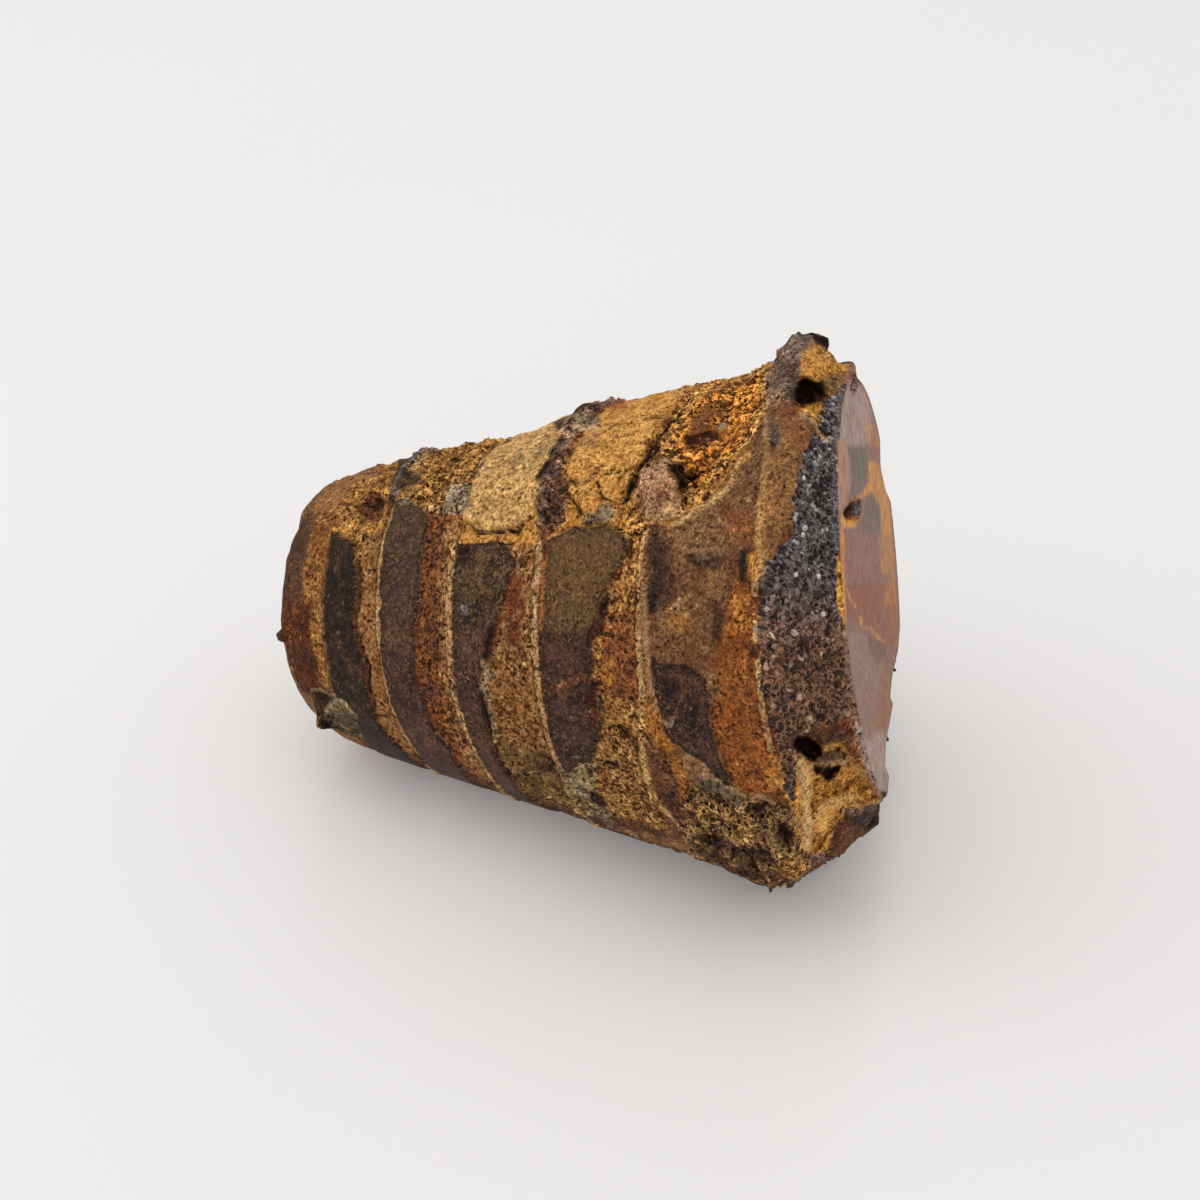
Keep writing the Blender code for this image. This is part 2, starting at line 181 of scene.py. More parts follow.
@dataclass(frozen=True)
class ShellForm:
    """The leaning cone of the shell and its septa, as in the solid part.

    A septum has its ring distance and its lean. The shoulder and the face's trim go by angle. A
    swelling has its u, angle, half width along, half width round and height.
    """

    origin: Triple = (-14.6227, 0.3547, 0.0)
    rise_deg: float = 10.45
    rim_radius: float = 7.22
    slope: float = 0.2281
    rim_height: float = 7.12
    dome_height: float = 2.0
    dome_power: float = 1.1
    siphuncle_radius: float = 0.75
    siphuncle_width: float = 0.5
    siphuncle_rise: float = 0.35
    round_length: float = 2.0
    round_drop: float = 0.55
    round_power: float = 2.2
    top_lean: float = 0.30
    top_lean_from: float = 5.0
    septa: tuple[Place, ...] = (
        (2.66, 0.30), (6.06, 0.50), (10.47, 0.55), (15.06, 0.95), (20.92, 1.00), (26.86, 1.80),
    )
    end_lean: Place = (29.6, 2.0)
    saw_normal: Triple = (0.961, 0.194, 0.199)
    saw_rise: float = 2.07
    saw_radius: float = 10.15
    shoulder_blend: float = 0.35
    shoulder_round: float = 0.25
    least_shoulder: float = 0.4
    least_radius: float = 1.0
    shoulder: tuple[Place, ...] = (
        (-40.0, 26.0), (-24.0, 26.9), (0.0, 27.9), (20.0, 29.0), (50.0, 29.3), (90.0, 29.1),
        (120.0, 28.0), (144.0, 26.6), (180.0, 26.2), (225.0, 26.4), (270.0, 25.9), (320.0, 25.7),
    )
    face_trim: tuple[Place, ...] = (
        (0.0, 0.0), (60.0, 0.0), (110.0, -0.10), (165.0, -0.55), (205.0, -0.95), (240.0, -0.70),
        (275.0, 0.38), (305.0, 0.48), (330.0, 0.20),
    )
    swellings: tuple[tuple[float, ...], ...] = (
        (26.4, -24.0, 1.5, 3.2, 1.65),
        (2.4, -18.0, 2.6, 4.5, -0.12),
        (27.6, 30.0, 1.7, 9.0, 0.30),
        (15.3, 4.0, 0.55, 5.2, 0.42),
        (12.9, 16.0, 1.6, 3.0, 0.18),
        (18.2, 12.0, 1.9, 3.8, 0.22),
        (24.2, 6.0, 1.6, 3.0, -1.05),
        (23.6, 22.0, 0.9, 1.3, -0.75),
        (11.2, -16.0, 1.9, 3.6, -0.50),
        (8.4, -2.0, 1.3, 2.6, -0.30),
        (4.6, 22.0, 0.6, 1.1, -0.50),
        (4.4, -10.0, 0.8, 1.6, 0.18),
        (25.4, 128.0, 2.2, 4.5, 0.35),
        (19.0, 108.0, 1.7, 3.0, -0.35),
        (14.2, 104.0, 1.1, 2.6, -0.25),
        (8.2, 228.0, 1.6, 3.0, -0.40),
        (17.6, 262.0, 1.9, 4.0, 0.30),
        (22.8, 300.0, 1.5, 3.2, -0.55),
        (13.1, 310.0, 1.3, 2.8, -0.40),
    )

    def axes(self) -> Array:
        """Rows: along the body, its own up, and the -Y side."""
        rise = math.radians(self.rise_deg)
        along = (math.cos(rise), 0.0, math.sin(rise))
        upward = (-math.sin(rise), 0.0, math.cos(rise))
        return np.array([along, upward, (0.0, -1.0, 0.0)])

    def foot(self) -> Array:
        """The axis point at u = 0."""
        return np.array([0.0, 0.0, self.rim_height]) + np.array(self.origin)

    def place(self, u: Array, turn: Array, radius: Array) -> Array:
        """Places on or in the body.

        Args:
            u: Distances along the axis.
            turn: Angles in radians.
            radius: Distances from the axis.
        Returns:
            Points, shape (n, 3).
        """
        along, upward, side = self.axes()
        outward = np.outer(np.cos(turn), upward) + np.outer(np.sin(turn), side)
        return self.foot() + np.outer(u, along) + outward * np.asarray(radius)[:, None]

    def locate(self, points: Array) -> tuple[Array, Array, Array]:
        """Find u, angle in degrees and radius of points.

        Args:
            points: Places, shape (n, 3).
        Returns:
            The three values of each point.
        """
        off = points - self.foot()
        along, upward, side = (off @ axis for axis in self.axes())
        return along, np.degrees(np.arctan2(side, upward)), np.hypot(side, upward)

    def cone(self, u: Array) -> Array:
        """Radius of the bare cone."""
        return self.rim_radius + self.slope * u

    def lean(self, s: Array) -> Array:
        """How far a ring leans along the axis on the -Y side."""
        table = ((0.0, 0.0), *self.septa, self.end_lean)
        return np.interp(s, [row[0] for row in table], [row[1] for row in table])

    def ring_to_u(self, s: Array, turn: Array) -> Array:
        """Distance along the axis of the leaning ring s."""
        top = self.top_lean * np.clip(s / self.top_lean_from, 0.0, 1.0)
        return s - top * np.cos(turn) + self.lean(np.maximum(s, 0.0)) * np.sin(turn)

    def u_to_ring(self, u: Array, angle: Array) -> Array:
        """Which leaning ring passes a place.

        Args:
            u: Distances along the axis.
            angle: Angles in degrees.
        Returns:
            The ring's own distance s.
        """
        turn = np.radians(angle)
        s = np.array(u, dtype=float)
        for _ in range(6):
            s = s + u - self.ring_to_u(s, turn)
        return s

    @staticmethod
    def around(angle: Array, table: tuple[Place, ...]) -> Array:
        """Value by angle of a table that closes on itself."""
        low, high = table[0][0], table[-1][0]
        keys = [high - 360.0, *(row[0] for row in table), low + 360.0]
        values = [table[-1][1], *(row[1] for row in table), table[0][1]]
        wrapped = (angle - low) % 360.0 + low
        return np.interp(wrapped, keys, values)

    def saw_centre(self) -> Array:
        """Middle of the sawn face."""
        centre = self.place(np.array([self.end_lean[0]]), np.zeros(1), np.array([self.saw_rise]))
        return centre[0]

    def saw_direction(self) -> Array:
        """Outward direction of the sawn face."""
        normal = np.array(self.saw_normal)
        return normal / np.linalg.norm(normal)

    def over_saw(self, points: Array) -> Array:
        """How far points stand out beyond the sawn face."""
        return (points - self.saw_centre()) @ self.saw_direction()

    def saw_edge(self, turn: Array) -> Array:
        """Radius of the sawn face's edge from the body's axis."""
        even = self.saw_rise * np.cos(turn)
        even = even + np.sqrt(self.saw_radius ** 2 - (self.saw_rise * np.sin(turn)) ** 2)
        return even + self.around(np.degrees(turn), self.face_trim)

    def saw_place(self, turn: Array) -> Array:
        """Where along the axis the sawn plane meets its edge."""
        normal = self.saw_direction()
        along, upward, side = self.axes()
        slant = np.cos(turn) * (normal @ upward) + np.sin(turn) * (normal @ side)
        reach = normal @ (self.saw_centre() - self.foot())
        return (reach - self.saw_edge(turn) * slant) / (normal @ along)

    def shoulder_limit(self, u: Array, turn: Array) -> Array:
        """Greatest radius between the broken shoulder and the sawn face."""
        start = self.around(np.degrees(turn), self.shoulder)
        end = self.saw_place(turn)
        edge = self.saw_edge(turn)
        drop = (self.cone(start) - edge) / np.maximum(self.least_shoulder, end - start)
        return edge + drop * (end - u)

    def swell(self, u: Array, angle: Array, radius: Array) -> Array:
        """Rise of the broad swellings and hollows."""
        rise = np.zeros(len(u))
        for s, centre, half_s, half_round, height in self.swellings:
            turn = np.radians((angle - centre + 180.0) % 360.0 - 180.0)
            far = ((u - s) / half_s) ** 2 + (turn * radius / half_round) ** 2
            rise += height * np.exp(-far)
        return rise

    def wall(self, s: Array, turn: Array) -> Array:
        """Points of the bare outer wall, before it is sculpted.

        Args:
            s: Ring distances, at least 0.
            turn: Angles in radians.
        Returns:
            Points, shape (n, 3).
        """
        u = self.ring_to_u(s, turn)
        bare = self.cone(u)
        radius = bare + self.swell(u, np.degrees(turn), bare)
        rim = np.clip(1.0 - s / self.round_length, 0.0, 1.0)
        radius -= self.round_drop * rim ** self.round_power
        limit = self.shoulder_limit(u, turn)
        gap = np.clip(1.0 - np.abs(radius - limit) / self.shoulder_blend, 0.0, 1.0)
        radius = np.minimum(radius, limit) - gap * gap * self.shoulder_blend * self.shoulder_round
        return self.place(u, turn, np.maximum(radius, self.least_radius))

    def dome(self, share: Array, turn: Array) -> Array:
        """Points of the domed end.

        Args:
            share: 0 at the rim, 1 at the tip.
            turn: Angles in radians.
        Returns:
            Points, shape (n, 3).
        """
        bend = 0.5 * math.pi * share
        radius = np.cos(bend) * (self.rim_radius - self.round_drop)
        ring = np.exp(-((radius - self.siphuncle_radius) / self.siphuncle_width) ** 2)
        u = -self.dome_height * np.sin(bend) ** self.dome_power - self.siphuncle_rise * ring
        return self.place(u, turn, radius)


def trail(text: str) -> tuple[Place, ...]:
    """Places written as "x,y x,y"."""
    return tuple((float(x), float(y)) for x, y in (pair.split(",") for pair in text.split()))


def unrolled(places: tuple[Place, ...], u: Array, angle: Array,
             form: ShellForm) -> tuple[Array, Array, Array, Array]:
    """Lay places and vertices on one flat sheet, in millimetres.

    Args:
        places: The (u, angle) places of an outline or a line.
        u: Distances of the vertices along the axis.
        angle: Angles of the vertices in degrees.
        form: The shell, for the width of a degree.
    Returns:
        Both coordinates of the vertices, then both of the places.
    """
    shape = np.array(places)
    middle = (shape[:, 1].min() + shape[:, 1].max()) / 2.0
    width = math.radians(1.0) * form.cone(float(shape[:, 0].mean()))
    turn = (angle - middle + 180.0) % 360.0 - 180.0
    return u, turn * width, shape[:, 0], (shape[:, 1] - middle) * width


def close_by(x: Array, y: Array, px: Array, py: Array, reach: float) -> Array:
    """Which points lie within reach of the box around some places."""
    near = (x > px.min() - reach) & (x < px.max() + reach)
    return near & (y > py.min() - reach) & (y < py.max() + reach)


def loop_depth(x: Array, y: Array, px: Array, py: Array, reach: float) -> Array:
    """Distance inside a closed loop.

    Args:
        x: First coordinates.
        y: Second coordinates.
        px: First coordinates of the loop's corners.
        py: Second coordinates of the loop's corners.
        reach: Longest distance told apart.
    Returns:
        Millimetres, positive inside and negative outside.
    """
    result = np.full(len(x), -reach)
    near = close_by(x, y, px, py, reach)
    qx, qy = x[near], y[near]
    best = np.full(len(qx), FAR_AWAY)
    odd = np.zeros(len(qx), dtype=bool)
    for k in range(len(px)):
        ax, ay, bx, by = px[k - 1], py[k - 1], px[k], py[k]
        best = np.minimum(best, segment_distance(qx, qy, ax, ay, bx, by))
        crosses = (ay > qy) != (by > qy)
        slope = (bx - ax) * (qy - ay) / np.where(by == ay, TINY, by - ay) + ax
        odd ^= crosses & (qx < slope)
    result[near] = np.clip(np.where(odd, best, -best), -reach, reach)
    return result


def line_distance(x: Array, y: Array, px: Array, py: Array, reach: float) -> Array:
    """Distance to an open line.

    Args:
        x: First coordinates.
        y: Second coordinates.
        px: First coordinates of the line's places.
        py: Second coordinates of the line's places.
        reach: Longest distance told apart.
    Returns:
        Millimetres.
    """
    result = np.full(len(x), reach)
    near = close_by(x, y, px, py, reach)
    best = np.full(int(near.sum()), reach)
    for k in range(1, len(px)):
        far = segment_distance(x[near], y[near], px[k - 1], py[k - 1], px[k], py[k])
        best = np.minimum(best, far)
    result[near] = best
    return result


def segment_distance(x: Array, y: Array, ax: float, ay: float, bx: float,
                     by: float) -> Array:
    """Distance from points to a straight piece of line.

    Args:
        x: First coordinates.
        y: Second coordinates.
        ax: First coordinate of the start.
        ay: Second coordinate of the start.
        bx: First coordinate of the end.
        by: Second coordinate of the end.
    Returns:
        One distance a point.
    """
    length = max((bx - ax) ** 2 + (by - ay) ** 2, TINIER)
    share = np.clip(((x - ax) * (bx - ax) + (y - ay) * (by - ay)) / length, 0.0, 1.0)
    return np.hypot(x - ax - share * (bx - ax), y - ay - share * (by - ay))


class Tint(Enum):
    """Colours of the stone, as seen."""

    TAN = (146, 104, 60)
    GREY_BROWN = (77, 54, 43)
    RUST = (120, 66, 38)
    DEEP_RUST = (78, 44, 28)
    OCHRE = (166, 108, 42)
    BRIGHT_OCHRE = (206, 150, 78)
    SHADE_OCHRE = (96, 54, 18)
    KHAKI = (200, 160, 102)
    WARM_KHAKI = (204, 154, 84)
    KHAKI_SHADE = (150, 108, 58)
    CREAM = (156, 118, 72)
    PALE_CREAM = (196, 160, 112)
    SLATE = (75, 55, 45)
    SLATE_DARK = (40, 26, 21)
    OLIVE = (104, 78, 50)
    LIGHT_OLIVE = (122, 88, 52)
    PURPLE = (97, 64, 48)
    PURPLE_DARK = (52, 30, 23)
    SOOT = (26, 18, 16)
    STEEL = (112, 100, 94)
    ORANGE = (132, 76, 34)
    BRIGHT_ORANGE = (168, 100, 42)
    YELLOW_OCHRE = (150, 112, 64)
    UMBER = (108, 72, 46)
    DARK_UMBER = (62, 43, 33)
    ROSE = (162, 122, 84)
    SAGE = (112, 98, 68)
    SAGE_DARK = (66, 54, 38)
    LILAC = (134, 106, 91)
    BRICK = (136, 84, 56)
    BONE = (196, 172, 138)
    PIT = (46, 26, 12)
    DUST = (138, 106, 70)
    PALE_OCHRE = (222, 184, 122)
    BRICK_DEEP = (142, 76, 48)
    GREY_LILAC = (140, 118, 106)
    FACE_GREY = (165, 145, 135)
    FACE_BROWN = (128, 98, 84)
    FACE_PINK = (170, 126, 108)
    FACE_STEEL = (118, 102, 88)
    FACE_SHADE = (84, 70, 60)
    MAROON = (122, 70, 58)
    HOT_OCHRE = (216, 152, 72)
    PALE_ROSE = (196, 150, 112)
    PALE_SAGE = (160, 142, 108)
    GREY_TAN = (146, 116, 92)
    SEAM_DARK = (56, 42, 34)
    GLINT = (142, 130, 130)
    CLAY = (166, 120, 90)
    SPARK = (208, 202, 196)
    WARM_SPARK = (192, 160, 130)

    def surface(self) -> Array:
        """The surface's own linear colour that shows as this colour when lit.

        Returns:
            Three linear values.
        """
        share = np.array(self.value, dtype=float) / 255.0
        light = np.where(share <= 0.04045, share / 12.92, ((share + 0.055) / 1.055) ** 2.4)
        return np.minimum(light * LIFT, 0.9)


T = Tint
FORM = ShellForm()


def wall_depth(corners: tuple[Place, ...], u: Array, angle: Array,
               reach: float = 3.0) -> Array:
    """Distance inside an outline on the unrolled body.

    Args:
        corners: Its (u, angle) corners.
        u: Distances along the axis.
        angle: Angles in degrees.
        reach: Longest distance told apart.
    Returns:
        Millimetres, positive inside and negative outside.
    """
    return loop_depth(*unrolled(corners, u, angle, FORM), reach)


@dataclass(frozen=True)
class Zone:
    """One kind of surface inside an outline on the unrolled body."""

    name: str
    light: Tint
    dark: Tint
    outline: str | tuple[Place, ...]
    rise: float = 0.0
    lumps: float = 0.06
    grain: float = 0.04
    pits: float = 0.0
    feather: float = 0.12
    ragged: float = 0.22
    strength: float = 1.0
    gain: float = 1.0

    def inside(self, u: Array, angle: Array) -> Array:
        """Distance inside the outline, from (u, angle) of each vertex."""
        corners = trail(self.outline) if isinstance(self.outline, str) else self.outline
        return wall_depth(corners, u, angle)


def ring_outline(first: float, last: float, start: float = -200.0, end: float = 200.0,
                 step: float = 10.0) -> tuple[Place, ...]:
    """Outline between two leaning rings.

    Args:
        first: Ring distance s of one side.
        last: Ring distance s of the other side.
        start: First angle.
        end: Last angle.
        step: Angle between corners.
    Returns:
        Corners (u, angle).
    """
    turns = np.radians(np.arange(start, end + 0.1, step))
    low = FORM.ring_to_u(np.full(len(turns), first), turns)
    high = FORM.ring_to_u(np.full(len(turns), last), turns)
    there = list(zip(low.tolist(), np.degrees(turns).tolist()))
    back = list(zip(high.tolist(), np.degrees(turns).tolist()))
    return (*there, *reversed(back))


def ring_line(s: float, start: float, end: float, step: float = 8.0) -> tuple[Place, ...]:
    """Places along one leaning ring.

    Args:
        s: Ring distance.
        start: First angle.
        end: Last angle.
        step: Angle between places.
    Returns:
        Places (u, angle).
    """
    turns = np.radians(np.arange(start, end + 0.1, step))
    u = FORM.ring_to_u(np.full(len(turns), s), turns)
    return tuple(zip(u.tolist(), np.degrees(turns).tolist()))


GROUND_ZONES: tuple[Zone, ...] = (
    Zone("dome", T.TAN, T.GREY_BROWN, ring_outline(-4.0, 0.5), lumps=0.05),
    Zone("dome_swell", T.TAN, T.GREY_BROWN, "-1.6,-25 2.4,-25 2.4,8 1.0,14 -1.2,17", rise=0.25,
         feather=0.9, gain=0.82),
    Zone("rim_band", T.TAN, T.UMBER, ring_outline(0.4, 2.4), lumps=0.07, gain=1.12),
    Zone("rim_grey", T.UMBER, T.GREY_BROWN, "-1,14 0.9,20 1.2,30 1.25,60 0.9,75 0.2,80 -1,82",
         feather=0.3, gain=0.74),
    Zone("rim_orange", T.BRIGHT_OCHRE, T.ORANGE, "1.1,20 2.5,24 2.6,60 2.6,93 2,92 1.4,60 1.2,40",
         rise=-0.03, pits=0.04, gain=0.72),
    Zone("rim_rust", T.RUST, T.DEEP_RUST, "-0.3,60 1.9,58 2,80 2.2,95 1.2,100 -0.4,104",
         feather=0.3, pits=0.03, gain=0.6),
    Zone("back_low", T.UMBER, T.DARK_UMBER, ring_outline(2.2, 29.0, 112.0, 205.0), lumps=0.12,
         feather=0.5),
    Zone("back_high", T.YELLOW_OCHRE, T.RUST, ring_outline(2.2, 29.0, 225.0, 330.0), lumps=0.16,
         grain=0.07, feather=0.6),
    Zone("crest_1", T.BRIGHT_OCHRE, T.SHADE_OCHRE, "2.2,-60 6,-60 6.3,20 6.2,32 5.6,44 5,50 "
         "4.5,43 3.4,34 2.5,30 2.3,0", rise=-0.12, lumps=0.16, grain=0.1, pits=0.06, gain=0.78),
    Zone("band_1", T.CREAM, T.ORANGE, "4.9,36 6.2,30 6.5,60 6.7,100 6.9,120 5.9,120 5.3,104 "
         "5.3,88 5.5,80 5,66 5,52", rise=-0.02, pits=0.06, grain=0.05, gain=0.87),
    Zone("crest_2", T.BRIGHT_OCHRE, T.SHADE_OCHRE, "6.1,-60 10.4,-60 10.7,20 10.8,31 9.2,30 "
         "8.7,28.5 7.4,24 6.2,20.5", rise=-0.12, lumps=0.2, grain=0.14, pits=0.09, gain=0.86),
    Zone("band_2", T.ORANGE, T.GREY_BROWN, "8.9,29 10.9,28 11,60 11.1,100 11.3,122 9.4,122 "
         "9.1,100 8.7,82 8.9,60 9,45", rise=-0.08, pits=0.12, grain=0.04, gain=1.1),
    Zone("band_2_cream", T.CREAM, T.RUST, "9.9,34 10.9,30 11,60 11.1,100 11.3,122 9.9,122 10,110 "
         "10.3,96 10.1,60", rise=-0.03, pits=0.13, feather=0.25, ragged=0.35, gain=1.1),
    Zone("crest_3", T.BRIGHT_OCHRE, T.OCHRE, "10.5,-60 15.1,-60 15.6,36 15.6,44 14.4,42 13,40 "
         "11.4,40.5 10.8,40.5", rise=-0.1, grain=0.07, gain=0.9),
    Zone("band_3", T.CREAM, T.ORANGE, "13.9,42 15.9,42 16.1,70 16.2,100 16.3,124 12.7,124 "
         "12.6,104 12.9,80 13.8,66 14.2,52", rise=-0.05, pits=0.11, grain=0.05, gain=0.9),
    Zone("band_3_rust", T.RUST, T.DEEP_RUST, "14.2,49 15.1,50 15.3,60 15.1,71 14.3,69 14.1,58",
         rise=-0.04, feather=0.15),
    Zone("crest_4", T.BRIGHT_OCHRE, T.SHADE_OCHRE, "15.9,-60 20.6,-60 21,36 20.9,44 19.8,40 "
         "18,38.5 16.2,42", rise=-0.08, lumps=0.1, grain=0.08, gain=0.95),
    Zone("seam_strip_4", T.TAN, T.RUST, "16,43 16.5,45 16.5,62 16.1,66", feather=0.1, gain=1.25),
    Zone("band_4", T.BRIGHT_OCHRE, T.RUST, "20.3,40 22,38 22,100 18,104 18.6,94 19.6,84 19.3,70 "
         "19.9,55", rise=-0.06, pits=0.12, grain=0.05, gain=0.85),
    Zone("band_4_rust", T.RUST, T.DEEP_RUST, "19.9,58 21.6,58 21.9,78 20.6,79 19.6,74", rise=-0.05,
         pits=0.08, feather=0.2, strength=0.85, gain=1.2),
    Zone("porous_wedge", T.YELLOW_OCHRE, T.SHADE_OCHRE, "20.2,79 21.9,80 21.6,100 21.4,120 "
         "17.8,122 17.9,108 18.3,98 19.2,89", rise=-0.1, lumps=0.14, grain=0.1, pits=0.12,
         gain=1.35),
    Zone("low_grey", T.SAGE, T.DARK_UMBER, "16.2,98 18,99 17.8,108 17.9,122 16.3,124", rise=-0.06,
         lumps=0.12, grain=0.1, pits=0.08, gain=2.3),
    Zone("low_lumps_3", T.YELLOW_OCHRE, T.DARK_UMBER, "12.7,98 16.2,98 16.3,130 12.8,130",
         rise=-0.02, lumps=0.18, grain=0.1, feather=0.3, gain=0.8),
    Zone("crest_5", T.BRIGHT_OCHRE, T.SHADE_OCHRE, "21,-60 26.6,-60 26.8,0 26.4,18 25.9,28 25,34 "
         "24,37.5 22,39 20.9,42 20.4,34 21,10", rise=-0.1, lumps=0.2, grain=0.16, pits=0.1,
         gain=1.1),
    Zone("hollow_5", T.OCHRE, T.SHADE_OCHRE, "22,-6 24.6,-12 25.4,6 25.3,20 24,30 22.6,24 21.9,10",
         rise=-0.12, lumps=0.22, grain=0.18, pits=0.16, gain=2.2),
    Zone("chamber_5", T.OLIVE, T.DEEP_RUST, "21.9,39 23.4,39 24.6,36 25.6,30 26.2,22 27.6,20 "
         "28.2,50 28.4,80 27.4,96 24,92 22.2,84 22.1,60", rise=0.02, lumps=0.07, grain=0.03,
         gain=1.45),
    Zone("pale_border_5", T.CREAM, T.OCHRE, "21.5,39.5 21.9,37.5 22.8,38 24.2,36 25.1,33 25.7,27 "
         "26,22 26.7,21 26.4,27 25.8,32.5 24.9,36.5 23.8,38.8 22.4,39.8", rise=0.06, grain=0.085,
         feather=0.12, ragged=0.15, gain=0.65),
    Zone("seam_strip_5", T.TAN, T.RUST, "21.7,58 22.3,60 22.6,80 23.6,88 24.4,96 23.2,97 22.2,90 "
         "21.9,75", feather=0.15, pits=0.05),
    Zone("band_5_orange", T.BRIGHT_ORANGE, T.RUST, "26.9,50 26.4,61 26,66 25.9,70 26.1,74 25.6,79 "
         "25.8,85 26.1,90 26.5,96 27.4,96 28.7,92 28.7,83 28.3,70 28.1,55", rise=-0.03, pits=0.05,
         grain=0.04, gain=0.8),
    Zone("band_6", T.TAN, T.UMBER, "27.7,16 29.3,15 29.3,40 28.5,52 28.1,52 27.9,40", rise=0.05,
         lumps=0.05),
    Zone("low_sheet", T.SAGE, T.UMBER, "23.8,88 25.2,91 26.4,96 26,99 24.6,97 23.8,94", rise=0.05,
         lumps=0.04, gain=1.15),
    Zone("low_purple", T.UMBER, T.PURPLE_DARK, "21.5,88 22.6,90 23.6,98 23.4,112 21.6,116 "
         "21.4,100", rise=-0.06, lumps=0.12, grain=0.08, gain=2.1),
    Zone("low_khaki", T.YELLOW_OCHRE, T.DARK_UMBER, "23.6,97 26.5,97 29,96 29,132 21.8,132 "
         "22.2,112", rise=-0.02, lumps=0.24, grain=0.14, pits=0.12, gain=1.22),
    Zone("low_holes", T.DARK_UMBER, T.SOOT, "23.4,113 24.5,112 25.6,113.5 27.2,112.5 27.4,117 "
         "25.6,119 23.8,118", rise=-0.45, lumps=0.25, grain=0.12, gain=3.4),
    Zone("low_hole_right", T.DARK_UMBER, T.SOOT, "27.9,102 28.5,102 28.6,110 28.1,111", rise=-0.45,
         grain=0.12, gain=0.55),
    Zone("plate_3", T.KHAKI, T.KHAKI_SHADE, "10.6,-30 15,-30 15.25,0 15.15,34 14.4,36.6 12.8,37.2 "
         "11.9,36.8 11.3,33.5 10.7,30 10.6,10", rise=0.16, lumps=0.07, grain=0.03, feather=0.08,
         ragged=0.1, gain=1.1),
    Zone("plate_4", T.WARM_KHAKI, T.OCHRE, "16.3,-12 20.8,-14 20.9,6 20.6,20 20.3,30 19.6,33 "
         "18.2,35 17.2,30 16.4,22", rise=0.12, lumps=0.08, grain=0.04, feather=0.1, ragged=0.12),
    Zone("plate_4_low", T.BRIGHT_OCHRE, T.OCHRE, "17.1,30.5 17.9,34 18,38 17,37.5 16.7,33",
         rise=0.06, feather=0.1, ragged=0.08),
    Zone("seam_ridge_4", T.GREY_TAN, T.SEAM_DARK, "14.7,-70 15.6,-70 15.9,0 16,20 16,36 15.6,37 "
         "15.2,30 15.1,10 14.8,-20", rise=0.16, lumps=0.14, grain=0.16, feather=0.1, gain=1.55),
    Zone("seam_dark_4", T.UMBER, T.SOOT, "15.9,24 16.9,29 17.1,36 16.6,38.5 16,39.5", rise=0.0,
         lumps=0.14, grain=0.16, feather=0.14, gain=1.7),
    Zone("seam_dark_2", T.STEEL, T.SOOT, "4.7,-70 5.3,-70 5.5,0 5.9,14 6,20 5.6,20 5.1,6 4.8,-8",
         rise=0.1, lumps=0.08, grain=0.14, feather=0.1, gain=1.7),
    Zone("seam_dark_3", T.YELLOW_OCHRE, T.UMBER, "6.1,4 6.7,2 7.2,16 6.6,19 6.2,14", lumps=0.1,
         grain=0.14, feather=0.12, gain=1.1),
    Zone("sage_grains", T.SAGE, T.SAGE_DARK, "9.2,20 10.9,18 10.9,27 9.4,29", rise=0.06,
         lumps=0.14, grain=0.14, gain=1.35),
    Zone("sage_spot", T.SAGE, T.SAGE_DARK, "18.8,34 19.3,32.6 19.8,35 19.6,37.6 18.9,37",
         rise=0.06, feather=0.08, ragged=0.08, gain=1.6),
    Zone("dark_grains_5", T.OCHRE, T.SOOT, "22.2,0 23.2,-3 24,4 23.9,17 22.9,17 22.2,9",
         rise=-0.04, lumps=0.2, grain=0.2, strength=0.7, gain=1.1),
    Zone("nodule_rose", T.ROSE, T.UMBER, "21.1,24 22,21 23,24 23.3,31 23,37.5 22,39 21.2,35 "
         "20.9,29", rise=0.04, lumps=0.06, feather=0.15, gain=0.9),
    Zone("spur", T.GREY_TAN, T.SEAM_DARK, "24.8,-70 26.4,-70 26.8,-10 27,0 27.5,9 27.6,14 27,12 "
         "26,5 25.3,-4 25,-14", rise=0.05, lumps=0.14, grain=0.18, feather=0.14, gain=1.4),
    Zone("summit_ochre", T.BRIGHT_OCHRE, T.OCHRE, "26.7,-22 28.8,-22 28.9,4 29,15 28.5,15 27.5,8 "
         "27,0", rise=-0.04, lumps=0.1, grain=0.085, gain=0.9),
    Zone("chip_dark", T.SLATE, T.SOOT, "1.3,96 2.4,96 2.1,108 1.3,107", feather=0.1, ragged=0.08),
    Zone("chip_sage", T.SAGE, T.SAGE_DARK, "2.4,96 3.4,95 3.7,106 3.6,122 1.4,122 1.2,110 2.2,106",
         rise=0.02, lumps=0.14, grain=0.12, gain=0.85),
    Zone("saw_pocket", T.BRIGHT_OCHRE, T.OCHRE, "28.9,86 29.9,84 31.4,88 31.4,110 30.3,115 29,124 "
         "28.6,120 29,100", lumps=0.1, grain=0.085, feather=0.15, gain=1.2),
    Zone("wedge", T.GREY_BROWN, T.SLATE_DARK, "31.8,107 30.9,112 30.3,114 29.8,119 29,125 "
         "28.6,132 28.2,150 31.8,150", rise=0.3, lumps=0.1, grain=0.085, feather=0.08, ragged=0.12,
         gain=0.75),
)

